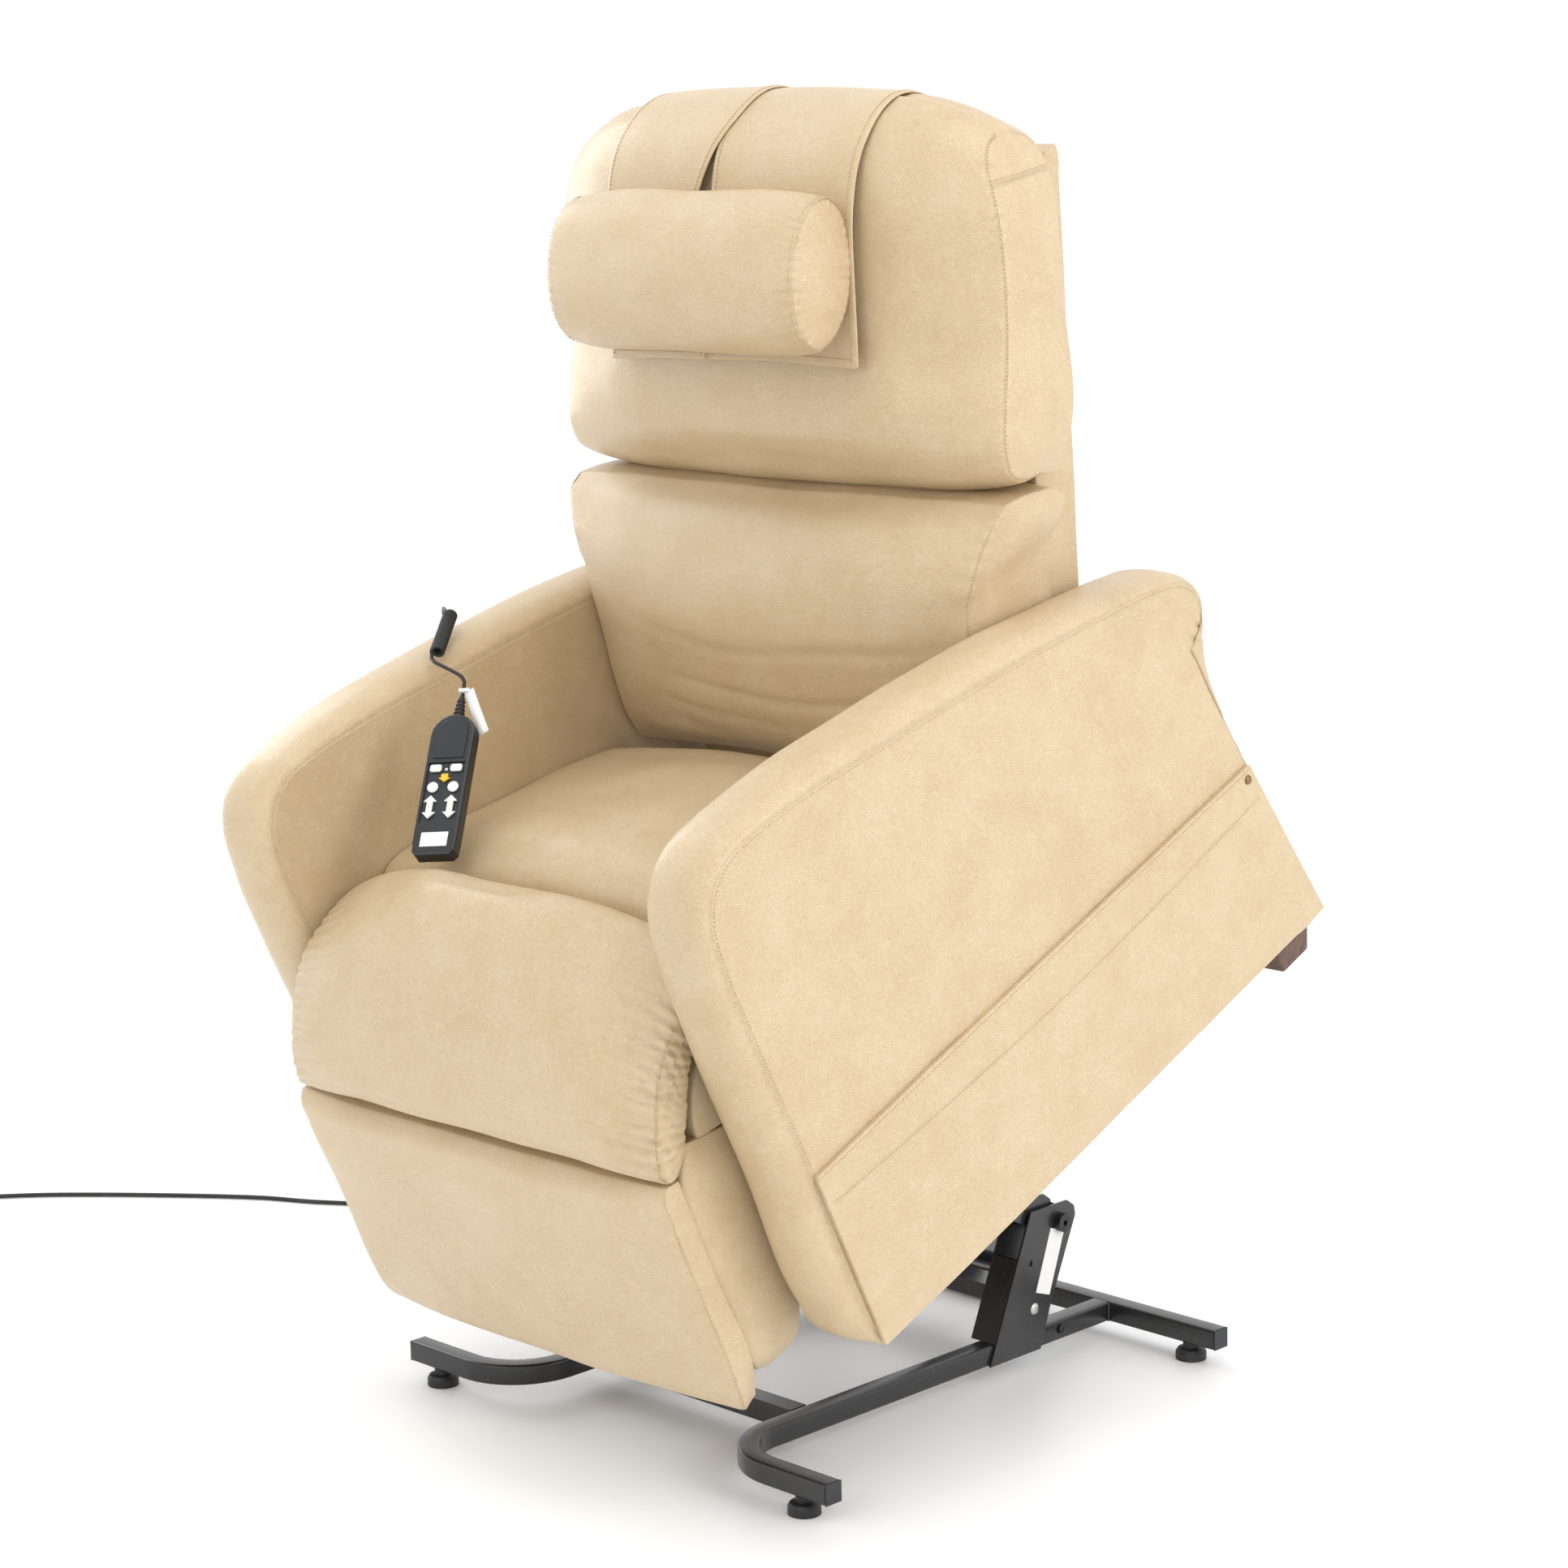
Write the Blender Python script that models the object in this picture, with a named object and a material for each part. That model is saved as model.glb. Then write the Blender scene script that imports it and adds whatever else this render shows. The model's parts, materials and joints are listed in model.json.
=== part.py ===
"""Lift recliner chair, standing in its lifted pose. Metres, +Z up, the sitter faces -Y.

The upholstered chair is drawn in its seated position and hangs from empties that hold the lift."""

import math

import bmesh
import bpy
from mathutils import Matrix, Vector

# Base: square tube, measured from the front face of the front stubs (y = 0).
TUBE = 0.0254
TUBE_UNDER = 0.022
TUBE_TOP = TUBE_UNDER + TUBE
RAIL_X = 0.1743
STUB_END_X = 0.352
STUB_BEND = 0.080
REAR_BAR_Y = 0.6907
FRONT_BAR_Y = 0.1525
FOOT_X = 0.308
DEPTH_CENTRE = 0.3022
GAP = 0.0004

# Lift linkage, as (y, z). The chair tips by TILT while the arms rise.
TILT = math.radians(24.3)
UPRIGHT_PIVOT = Vector((0, 0.582, 0.175))
CHAIR_PIVOT = Vector((0, 0.1316, 0.155))
FRONT_CORNER_SEATED = Vector((0, -0.0685, 0.055))
FRONT_CORNER_LIFTED = Vector((0, 0.037, 0.202))
UPRIGHT_IN = 0.1495
UPRIGHT_OUT = 0.1905
PLATE = 0.003
ARM_IN = 0.156
ARM_OUT = 0.184
TORQUE_TUBE_AT = 0.405
LIFT_ACTUATOR_PIVOT = Vector((0, 0.600, 0.112))
LIFT_ROD_END = Vector((0, 0.1815, 0.245))

# Chair, drawn seated.
SEAT_HALF = 0.311
SEAT_FULLNESS = 1.9
ARM_INNER_X = 0.315
ARM_OUTER_X = 0.404
SIDE_PLATE_X = 0.205
CORE_WING_X = 0.222
BACK_PIVOT = Vector((0, 0.550, 0.380))
BACK_SLOPE = 0.3706
BACK_FRAME_THICK = 0.030
LEGREST_PIVOT = Vector((0, -0.078, 0.412))
BACK_ACTUATOR_PIVOT = Vector((-0.09, 0.280, 0.185))
BACK_ROD_END = Vector((-0.09, 0.506, 0.275))
LEG_ACTUATOR_PIVOT = Vector((0.09, 0.400, 0.235))
LEG_ROD_END = Vector((0.09, -0.060, 0.235))

# Handset: its lower edge, its long direction and its width, in the seated chair.
HANDSET_FOOT = Vector((-0.157, 0.010, 0.561))
HANDSET_LENGTH = 0.186
HANDSET_HALF = 0.027
HANDSET_THICK = 0.020
HANDSET_UP = Vector((-0.362, 0.801, 0.477)).normalized()
HANDSET_ACROSS = Vector((0.887, 0.434, -0.157))
KEY_COLUMN = 0.0125
KEY_TRAVEL = 0.001

CURLY_CORD = 0.0045
CURLY_OUTSIDE = 0.018
MAINS_CORD = 0.006


def material(name, colour, roughness, metallic=0.0):
    made = bpy.data.materials.new(name)
    made.use_nodes = True
    shader = made.node_tree.nodes["Principled BSDF"]
    shader.inputs["Base Color"].default_value = (*colour, 1)
    shader.inputs["Roughness"].default_value = roughness
    shader.inputs["Metallic"].default_value = metallic
    return made


class Frame:
    """An empty, with the point of the drawing that it stands for."""

    def __init__(self, name, origin, parent=None, place=None, turn=0.0):
        self.origin = Vector(origin)
        self.empty = bpy.data.objects.new(name, None)
        bpy.context.collection.objects.link(self.empty)
        if parent:
            self.empty.parent = parent.empty
            place = self.origin - parent.origin if place is None else place
        self.empty.location = place if place is not None else self.origin
        self.empty.rotation_euler = (turn, 0, 0)


def finish(name, bm, look, frame, origin=None):
    """Turns a bmesh drawn in the frame's drawing into an object whose origin is the given point."""
    origin = frame.origin if origin is None else Vector(origin)
    bmesh.ops.remove_doubles(bm, verts=bm.verts, dist=1e-6)
    bmesh.ops.recalc_face_normals(bm, faces=bm.faces)
    bmesh.ops.translate(bm, verts=bm.verts, vec=-origin)
    mesh = bpy.data.meshes.new(name)
    bm.to_mesh(mesh)
    bm.free()
    mesh.shade_smooth()
    mesh.set_sharp_from_angle(angle=math.radians(35))
    made = bpy.data.objects.new(name, mesh)
    made.data.materials.append(look)
    made.parent = frame.empty
    made.location = origin - frame.origin
    bpy.context.collection.objects.link(made)
    return made


def hide(obj):
    obj.hide_render = True
    obj.display_type = "WIRE"
    return obj


def combine(obj, operation, others):
    """Welds or cuts an object with helpers, which are hidden."""
    for other in others:
        modifier = obj.modifiers.new(operation.lower(), "BOOLEAN")
        modifier.operation = operation
        modifier.solver = "EXACT"
        modifier.object = hide(other)
    return obj


def bevel(obj, width, segments=2, angle=40):
    modifier = obj.modifiers.new("bevel", "BEVEL")
    modifier.width = width
    modifier.segments = segments
    modifier.limit_method = "ANGLE"
    modifier.angle_limit = math.radians(angle)
    return obj


def prism(name, outline, x_low, x_high, look, frame, origin=None):
    """An outline of (y, z) points, extruded along X."""
    bm = bmesh.new()
    ends = [[bm.verts.new((x, y, z)) for y, z in outline] for x in (x_low, x_high)]
    bm.faces.new(ends[0])
    bm.faces.new(reversed(ends[1]))
    for i, j in zip(range(len(outline)), [*range(1, len(outline)), 0]):
        bm.faces.new((ends[0][i], ends[1][i], ends[1][j], ends[0][j]))
    return finish(name, bm, look, frame, origin)


def block(name, low, high, look, frame, origin=None):
    (x0, y0, z0), (x1, y1, z1) = low, high
    return prism(name, [(y0, z0), (y1, z0), (y1, z1), (y0, z1)], x0, x1, look, frame, origin)


def cylinder(name, start, end, radius, look, frame, sides=16, end_radius=None, origin=None):
    start, end = Vector(start), Vector(end)
    axis = end - start
    bm = bmesh.new()
    place = Matrix.Translation((start + end) / 2) @ axis.to_track_quat("Z", "Y").to_matrix().to_4x4()
    bmesh.ops.create_cone(
        bm, cap_ends=True, segments=sides, radius1=radius,
        radius2=radius if end_radius is None else end_radius, depth=axis.length, matrix=place,
    )
    return finish(name, bm, look, frame, origin)


def padded(name, outline, x_low, x_high, look, frame, steps=8, fullness=3.0, origin=None):
    """A soft block. Its outline of (y, z, dy, dz) points stands at both sides, and moves by (dy, dz) mid-way."""
    bm = bmesh.new()
    rings = []
    for step in range(steps + 1):
        across = -math.cos(math.pi * step / steps)
        crown = 1 - abs(across) ** fullness
        x = (x_low + x_high) / 2 + across * (x_high - x_low) / 2
        rings.append([bm.verts.new((x, y + dy * crown, z + dz * crown)) for y, z, dy, dz in outline])
    bm.faces.new(rings[0])
    bm.faces.new(reversed(rings[-1]))
    count = len(outline)
    for one, two in zip(rings, rings[1:]):
        for i in range(count):
            j = (i + 1) % count
            bm.faces.new((one[i], two[i], two[j], one[j]))
    return finish(name, bm, look, frame, origin)


def smooth_route(points, spacing):
    """Points about SPACING apart on a smooth curve through the route's own points."""
    points = [Vector(p) for p in points]
    ends = [2 * points[0] - points[1], *points, 2 * points[-1] - points[-2]]
    route = [points[0]]
    for a, b, c, d in zip(ends, ends[1:], ends[2:], ends[3:]):
        steps = max(1, round((c - b).length / spacing))
        for step in range(1, steps + 1):
            t = step / steps
            route.append(
                0.5 * (2 * b + (c - a) * t + (2 * a - 5 * b + 4 * c - d) * t * t
                       + (3 * b - a - 3 * c + d) * t ** 3)
            )
    return route


def cord_tube(name, points, spacing, diameter, look, frame):
    curve = bpy.data.curves.new(name, "CURVE")
    curve.dimensions = "3D"
    curve.bevel_depth = diameter / 2
    curve.bevel_resolution = 2
    curve.use_fill_caps = True
    route = smooth_route(points, spacing)
    spline = curve.splines.new("POLY")
    spline.points.add(len(route) - 1)
    for point, place in zip(spline.points, route):
        point.co = (*(place - frame.origin), 1)
    curve.materials.append(look)
    made = bpy.data.objects.new(name, curve)
    made.parent = frame.empty
    bpy.context.collection.objects.link(made)
    return made


def rest_turn(pivot, rod_end):
    """The turn about X that points local -Y from the pivot to the rod's end."""
    reach = rod_end - pivot
    return -math.atan2(reach.z, -reach.y)


def lifted(point):
    """Where a point of the seated chair is in the lifted pose."""
    return FRONT_CORNER_LIFTED + Matrix.Rotation(TILT, 3, "X") @ (point - FRONT_CORNER_SEATED)


def mirrored(side, low, high):
    return (low, high) if side > 0 else (-high, -low)


SIDES = (("right", -1), ("left", 1))


# ---------------------------------------------------------------- base


def base_rail(name, side, look, frame):
    """A rail that runs forwards, bends outwards on a quarter circle and ends in a short stub."""
    half = TUBE / 2
    rear_y = REAR_BAR_Y - half - GAP
    centre = (RAIL_X + STUB_BEND, half + STUB_BEND)
    steps = 6
    stations = [((RAIL_X, rear_y), (1, 0))]
    for step in range(steps + 1):
        turn = math.pi / 2 * step / steps
        out = (math.cos(turn), math.sin(turn))
        stations.append(((centre[0] - STUB_BEND * out[0], centre[1] - STUB_BEND * out[1]), out))
    stations.append(((STUB_END_X, half), (0, 1)))
    bm = bmesh.new()
    rings = []
    for (x, y), (out_x, out_y) in stations:
        ring = []
        for across, z in ((-half, TUBE_UNDER), (half, TUBE_UNDER), (half, TUBE_TOP), (-half, TUBE_TOP)):
            ring.append(bm.verts.new((side * (x + across * out_x), y + across * out_y, z)))
        rings.append(ring)
    bm.faces.new(rings[0])
    bm.faces.new(rings[-1])
    for one, two in zip(rings, rings[1:]):
        for i in range(4):
            j = (i + 1) % 4
            bm.faces.new((one[i], two[i], two[j], one[j]))
    rail = finish(name, bm, look, frame)
    hole = cylinder(name + "_stem_hole", (side * FOOT_X, half, 0), (side * FOOT_X, half, 0.1), 0.0052, look, frame)
    return combine(rail, "DIFFERENCE", [hole])


def rear_crossbar(look, frame):
    half = TUBE / 2
    bar = block("rear_crossbar", (-STUB_END_X - 0.001, REAR_BAR_Y - half, TUBE_UNDER),
                (STUB_END_X + 0.001, REAR_BAR_Y + half, TUBE_TOP), look, frame)
    holes = [
        cylinder(f"rear_stem_hole_{name}", (side * FOOT_X, REAR_BAR_Y, 0), (side * FOOT_X, REAR_BAR_Y, 0.1),
                 0.0052, look, frame)
        for name, side in SIDES
    ]
    return combine(bar, "DIFFERENCE", holes)


def mid_crossbar(look, frame):
    """A low channel between the uprights, with two ears that hold the lift actuator."""
    x = UPRIGHT_IN - GAP
    bar = block("mid_crossbar", (-x, 0.524, 0.074), (x, 0.564, 0.094), look, frame)
    pivot = LIFT_ACTUATOR_PIVOT
    ears = []
    for name, side in SIDES:
        low, high = mirrored(side, 0.033, 0.037)
        outline = [(0.550, 0.076), (0.596, 0.092), (pivot.y + 0.014, 0.104), (pivot.y + 0.014, 0.124),
                   (pivot.y - 0.010, 0.128), (0.550, 0.092)]
        ears.append(prism(f"ear_{name}", outline, low, high, look, frame))
    return combine(bar, "UNION", ears)


def upright(name, side, look, frame):
    """Two leaning plates, a web along their front edges and a flange that sits on the rail."""
    rail_top = TUBE_TOP + GAP
    slope = (0.529 - 0.453) / (0.199 - 0.028)
    plate_top = [(0.611, 0.178), (0.6085, 0.190), (0.596, 0.199), (0.529, 0.199)]
    outer_outline = [(0.453, TUBE_UNDER), (0.545, TUBE_UNDER), (0.563, 0.072), *plate_top]
    inner_outline = [(0.464, rail_top), (0.549, rail_top), (0.563, 0.072), *plate_top]
    web_top, web_low = 0.143, rail_top
    web = [(0.453 + slope * (web_low - 0.028) + 0.001, web_low), (0.453 + slope * (web_low - 0.028) + 0.005, web_low),
           (0.453 + slope * (web_top - 0.028) + 0.005, web_top), (0.453 + slope * (web_top - 0.028) + 0.001, web_top)]
    outer = prism(name, outer_outline, *mirrored(side, UPRIGHT_OUT - PLATE, UPRIGHT_OUT), look, frame)
    inner = prism(name + "_inner", inner_outline, *mirrored(side, UPRIGHT_IN, UPRIGHT_IN + PLATE), look, frame)
    between = mirrored(side, UPRIGHT_IN + 0.001, UPRIGHT_OUT - 0.001)
    face = prism(name + "_web", web, *between, look, frame)
    flange = prism(name + "_flange", [(0.466, rail_top), (0.545, rail_top), (0.545, rail_top + PLATE),
                                      (0.466, rail_top + PLATE)], *between, look, frame)
    combine(outer, "UNION", [inner, face, flange])
    pivot = UPRIGHT_PIVOT
    cuts = [
        cylinder(name + "_bolt_hole", (side * 0.1, pivot.y, pivot.z), (side * 0.25, pivot.y, pivot.z),
                 0.0084, look, frame),
        cylinder(name + "_small_hole", (side * 0.18, 0.527, 0.135), (side * 0.25, 0.527, 0.135), 0.004, look,
                 frame, 12),
    ]
    return combine(outer, "DIFFERENCE", cuts)


def pivot_bolt(name, side, look, frame):
    y, z = UPRIGHT_PIVOT.y, UPRIGHT_PIVOT.z
    shank = cylinder(name, (side * 0.144, y, z), (side * 0.192, y, z), 0.008, look, frame)
    head = cylinder(name + "_head", (side * (UPRIGHT_OUT + GAP), y, z), (side * 0.1995, y, z), 0.0115, look, frame)
    nut = cylinder(name + "_nut", (side * 0.140, y, z), (side * (UPRIGHT_IN - GAP), y, z), 0.0115, look, frame, 6)
    combine(shank, "UNION", [head, nut])
    socket = cylinder(name + "_socket", (side * 0.1945, y, z), (side * 0.21, y, z), 0.004, look, frame, 6)
    return combine(shank, "DIFFERENCE", [socket])


def levelling_foot(name, x, y, look, frame):
    """A turned rubber pad and its threaded stem, which ends inside the tube."""
    profile = [(0, 0), (0.0190, 0), (0.0190, 0.009), (0.0165, 0.013), (0.0100, 0.0145), (0.0100, TUBE_UNDER - GAP),
               (0.0046, TUBE_UNDER - GAP), (0.0046, TUBE_TOP - 0.006), (0.0030, TUBE_TOP - 0.004),
               (0, TUBE_TOP - 0.004)]
    bm = bmesh.new()
    line = [bm.verts.new((x + r, y, z)) for r, z in profile]
    edges = [bm.edges.new(pair) for pair in zip(line, line[1:])]
    bmesh.ops.spin(bm, geom=[*line, *edges], cent=(x, y, 0), axis=(0, 0, 1), angle=2 * math.pi, steps=20)
    return finish(name, bm, look, frame, (x, y, 0))


def power_supply(look, frame):
    rear = REAR_BAR_Y + TUBE / 2 + GAP
    return bevel(block("power_supply", (-0.115, rear, 0.012), (0.015, rear + 0.058, 0.060), look, frame), 0.004)


MAINS_EXIT = Vector((-0.1154, 0.733, 0.030))
MAINS_ROUTE = [
    (-0.146, 0.733, 0.030), (-0.160, 0.733, 0.0285), (-0.182, 0.738, 0.018), (-0.205, 0.750, 0.007),
    (-0.235, 0.775, 0.0032), (-0.290, 0.826, 0.0032), (-0.370, 0.858, 0.0032), (-0.470, 0.835, 0.0032),
    (-0.600, 0.725, 0.0032), (-0.780, 0.545, 0.0032), (-0.991, 0.387, 0.0032), (-1.097, 0.328, 0.0032),
    (-1.219, 0.236, 0.0032), (-1.323, 0.147, 0.0032), (-1.390, 0.078, 0.0032), (-1.428, 0.028, 0.0032),
]
MAINS_COIL = Vector((-1.470, 0.000, 0.0))
MAINS_COIL_MEAN = 0.033


def mains_lead(rubber, frame):
    """Strain relief, lead along the floor, a small coil and the plug beside it."""
    end = MAINS_EXIT + Vector((-0.030, 0, 0))
    cylinder("mains_strain_relief", MAINS_EXIT, end, 0.0065, rubber, frame, 12, 0.0040)
    cord_tube("mains_cord", MAINS_ROUTE_FROM_RELIEF, 0.022, MAINS_CORD, rubber, frame)
    half_wide, low, high = 0.0075, 0.0003, 0.0128
    profile = [(MAINS_COIL_MEAN - half_wide, low), (MAINS_COIL_MEAN + half_wide, low),
               (MAINS_COIL_MEAN + half_wide, high), (MAINS_COIL_MEAN - half_wide, high)]
    bm = bmesh.new()
    ring = [bm.verts.new((MAINS_COIL.x + r, MAINS_COIL.y, z)) for r, z in profile]
    edges = [bm.edges.new((ring[i], ring[(i + 1) % 4])) for i in range(4)]
    bmesh.ops.spin(bm, geom=[*ring, *edges], cent=MAINS_COIL, axis=(0, 0, 1), angle=2 * math.pi, steps=28)
    finish("mains_coil", bm, rubber, frame)
    plug_start = MAINS_COIL + Vector((-0.012, -0.048, 0.013))
    body = bevel(block("mains_plug", plug_start + Vector((-0.050, -0.016, -0.012)), plug_start + Vector((0, 0.004, 0.008)),
                       rubber, frame), 0.003)
    blades = [
        block(f"blade_{i}", plug_start + Vector((-0.066, y, -0.006)), plug_start + Vector((-0.045, y + 0.0016, 0.001)),
              rubber, frame)
        for i, y in enumerate((-0.013, -0.001))
    ]
    combine(body, "UNION", blades)


MAINS_ROUTE_FROM_RELIEF = [MAINS_EXIT + Vector((-0.0304, 0, 0)), *MAINS_ROUTE[1:]]


def build_base(looks):
    steel, rubber, plastic = looks["black_steel"], looks["rubber"], looks["black_plastic"]
    frame = Frame("base_frame", (0, 0, 0), place=(0, -DEPTH_CENTRE, 0))
    for name, side in SIDES:
        base_rail(f"base_rail_{name}", side, steel, frame)
        upright(f"upright_{name}", side, steel, frame)
        pivot_bolt(f"upright_bolt_{name}", side, looks["bolt_steel"], frame)
        levelling_foot(f"front_foot_{name}", side * FOOT_X, TUBE / 2, rubber, frame)
        levelling_foot(f"rear_foot_{name}", side * FOOT_X, REAR_BAR_Y, rubber, frame)
    rear_crossbar(steel, frame)
    inner = RAIL_X - TUBE / 2 - GAP
    block("front_crossbar", (-inner, FRONT_BAR_Y - TUBE / 2, TUBE_UNDER), (inner, FRONT_BAR_Y + TUBE / 2, TUBE_TOP),
          steel, frame)
    mid_crossbar(steel, frame)
    power_supply(plastic, frame)
    mains_lead(rubber, frame)
    return frame


# ---------------------------------------------------------------- lift arms and actuators


def round_end(y, z, radius, start, end, steps=6):
    """Points of an arc in the (y, z) plane, angles in degrees from +Y towards +Z."""
    angles = [math.radians(start + (end - start) * i / steps) for i in range(steps + 1)]
    return [(y + radius * math.cos(a), z + radius * math.sin(a)) for a in angles]


def build_lift_arms(looks, base):
    steel = looks["black_steel"]
    lifted_pivot = lifted(CHAIR_PIVOT)
    reach = (lifted_pivot - UPRIGHT_PIVOT).length
    turn = rest_turn(UPRIGHT_PIVOT, lifted_pivot)
    frame = Frame("lift_arm_pivot", (0, 0, 0), base, UPRIGHT_PIVOT, turn)
    half = 0.019
    outline = [*round_end(0, 0, half, -90, 90), *round_end(-reach, 0, half, 90, 270)]
    for name, side in SIDES:
        arm = prism(f"lift_arm_{name}", outline, *mirrored(side, ARM_IN, ARM_OUT), steel, frame)
        holes = [
            cylinder(f"lift_arm_hole_{name}_{i}", (side * 0.1, y, 0), (side * 0.25, y, 0), 0.0084, steel, frame)
            for i, y in enumerate((0, -reach))
        ]
        combine(arm, "DIFFERENCE", holes)
    x = ARM_IN - GAP
    cylinder("torque_tube", (-x, -TORQUE_TUBE_AT, 0), (x, -TORQUE_TUBE_AT, 0), 0.0127, steel, frame)
    return frame


def actuator(name, parent, pivot, rod_end, tube_length, rod_inset, looks):
    """A gear housing with a guide tube, and the rod that slides in it, laid along local -Y of its pivot."""
    origin = Vector((0, 0, 0))
    frame = Frame(f"{name}_pivot", origin, parent, pivot - parent.origin, rest_turn(pivot, rod_end))
    reach = (rod_end - pivot).length
    plastic, zinc = looks["black_plastic"], looks["zinc"]
    body = block(f"{name}_housing", (-0.030, -0.055, -0.024), (0.030, 0.012, 0.024), plastic, frame)
    tube = cylinder(f"{name}_tube", (0, -0.050, 0), (0, -tube_length, 0), 0.0175, plastic, frame)
    combine(body, "UNION", [tube])
    bore = cylinder(f"{name}_bore", (0, -0.045, 0), (0, -tube_length - 0.01, 0), 0.0108, plastic, frame)
    combine(body, "DIFFERENCE", [bore])
    cylinder(f"{name}_rod", (0, -rod_inset, 0), (0, -reach, 0), 0.0095, zinc, frame)
    return frame


# ---------------------------------------------------------------- chair frame


def seat_side_plate(name, side, look, frame):
    """A steel plate with the lift pivot's pin and a nose that carries the legrest hinge."""
    leg = LEGREST_PIVOT
    outline = [
        *round_end(CHAIR_PIVOT.y, CHAIR_PIVOT.z, 0.022, 180, 300, 4),
        (0.300, 0.175), (0.465, 0.200), (0.465, 0.245), (0.420, 0.310), (-0.020, 0.374), (-0.040, 0.400),
        *round_end(leg.y, leg.z, 0.012, 60, 240, 5), (-0.045, 0.330), (0.020, 0.230),
    ]
    plate = prism(name, outline, *mirrored(side, SIDE_PLATE_X, SIDE_PLATE_X + 0.005), look, frame)
    pin = cylinder(name + "_pin", (side * 0.150, CHAIR_PIVOT.y, CHAIR_PIVOT.z),
                   (side * (SIDE_PLATE_X + 0.003), CHAIR_PIVOT.y, CHAIR_PIVOT.z), 0.008, look, frame)
    combine(plate, "UNION", [pin])
    hole = cylinder(name + "_hinge_hole", (side * 0.19, leg.y, leg.z), (side * 0.23, leg.y, leg.z), 0.0054, look,
                    frame)
    return combine(plate, "DIFFERENCE", [hole])


def seat_rails(look, frame):
    """The two square tubes between the side plates, the front one with long ears for the lift actuator's rod."""
    x = SIDE_PLATE_X - GAP
    front = block("seat_front_rail", (-x, 0.169, 0.312), (x, 0.194, 0.337), look, frame)
    ears = []
    for name, side in SIDES:
        low, high = mirrored(side, 0.014, 0.018)
        ears.append(prism(f"rail_ear_{name}", [(0.171, 0.232), (0.192, 0.232), (0.192, 0.320), (0.171, 0.320)],
                          low, high, look, frame))
    combine(front, "UNION", ears)
    block("seat_rear_rail", (-x, 0.438, 0.206), (x, 0.462, 0.230), look, frame)


DECK_FRONT = (-0.012, 0.3889)
DECK_REAR = (0.425, 0.3258)


def seat_deck(look, frame):
    (y0, z0), (y1, z1) = DECK_FRONT, DECK_REAR
    thick = 0.012
    prism("seat_deck", [(y0, z0 - thick), (y1, z1 - thick), (y1, z1), (y0, z0)], -0.300, 0.300, look, frame)


def chair_arm(name, side, look, frame):
    """The padded arm: flat inner and outer sides, and a crowned strip over its front, top and rear end."""
    outline = [
        (-0.048, 0.057, 0, 0), (-0.063, 0.066, -0.016, -0.003), (-0.068, 0.100, -0.026, 0),
        (-0.071, 0.300, -0.031, 0), (-0.079, 0.480, -0.028, 0), (-0.078, 0.590, -0.022, 0.002),
        (-0.070, 0.635, -0.018, 0.007), (-0.050, 0.660, -0.012, 0.013), (-0.015, 0.669, -0.003, 0.016),
        (0.060, 0.667, 0, 0.020), (0.260, 0.643, 0, 0.027), (0.474, 0.611, 0, 0.024),
        (0.620, 0.583, 0.002, 0.015), (0.690, 0.565, 0.005, 0.011), (0.722, 0.543, 0.010, 0.006),
        (0.734, 0.512, 0.013, 0), (0.722, 0.486, 0.010, -0.004), (0.703, 0.474, 0, 0),
        (0.736, 0.308, 0, 0), (0.794, 0.057, 0, 0),
    ]
    return padded(name, outline, *mirrored(side, ARM_INNER_X, ARM_OUTER_X), look, frame, 6, 2.6)


def lower_side_panel(name, side, look, frame):
    outline = [(-0.052, 0.058), (-0.063, 0.068), (-0.070, 0.293), (0.738, 0.299), (0.792, 0.058)]
    inner = ARM_OUTER_X + GAP
    return prism(name, outline, *mirrored(side, inner, inner + 0.006), look, frame)


def wooden_foot(name, side, look, frame):
    """A tapered block under the rear of the arm."""
    bm = bmesh.new()
    rings = []
    for z, y0, y1, x0, x1 in ((0.002, 0.724, 0.776, 0.344, 0.378), (0.0566, 0.712, 0.788, 0.336, 0.386)):
        corners = ((x0, y0), (x1, y0), (x1, y1), (x0, y1))
        rings.append([bm.verts.new((side * x, y, z)) for x, y in corners])
    bm.faces.new(rings[0])
    bm.faces.new(rings[1])
    for i in range(4):
        j = (i + 1) % 4
        bm.faces.new((rings[0][i], rings[0][j], rings[1][j], rings[1][i]))
    return bevel(finish(name, bm, look, frame), 0.003)


def seat_cushions(look, frame):
    seat = [
        (0.030, 0.386, 0, 0), (0.027, 0.470, 0, 0.030), (0.040, 0.492, 0, 0.036), (0.086, 0.497, 0, 0.042),
        (0.200, 0.477, 0, 0.044), (0.350, 0.445, 0, 0.034), (0.422, 0.420, 0, 0.016), (0.446, 0.398, 0, 0),
        (0.446, 0.327, 0, 0), (0.430, 0.3265, 0, 0),
    ]
    padded("seat_cushion", seat, -SEAT_HALF, SEAT_HALF, look, frame, 10, SEAT_FULLNESS)
    pad = [
        (0.022, 0.470, 0, 0.030), (0.010, 0.492, 0, 0.050), (-0.020, 0.500, 0, 0.056), (-0.070, 0.496, -0.008, 0.044),
        (-0.105, 0.478, -0.016, 0.030), (-0.138, 0.442, -0.018, 0.014), (-0.164, 0.394, -0.016, 0),
        (-0.178, 0.354, -0.010, 0), (-0.176, 0.342, 0, 0), (-0.150, 0.342, 0, 0), (-0.122, 0.386, 0, 0),
        (-0.098, 0.431, 0, 0), (-0.045, 0.456, 0, 0), (0.022, 0.458, 0, 0),
    ]
    padded("chaise_pad", pad, -SEAT_HALF + 0.003, SEAT_HALF - 0.003, look, frame, 10, SEAT_FULLNESS)


# ---------------------------------------------------------------- back


def back_rear(z):
    """The back's rear face: its y at a height."""
    return 0.670 + (z - 0.598) * BACK_SLOPE


def back_line(z, inset=0.0):
    return (back_rear(z) - inset, z)


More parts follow.
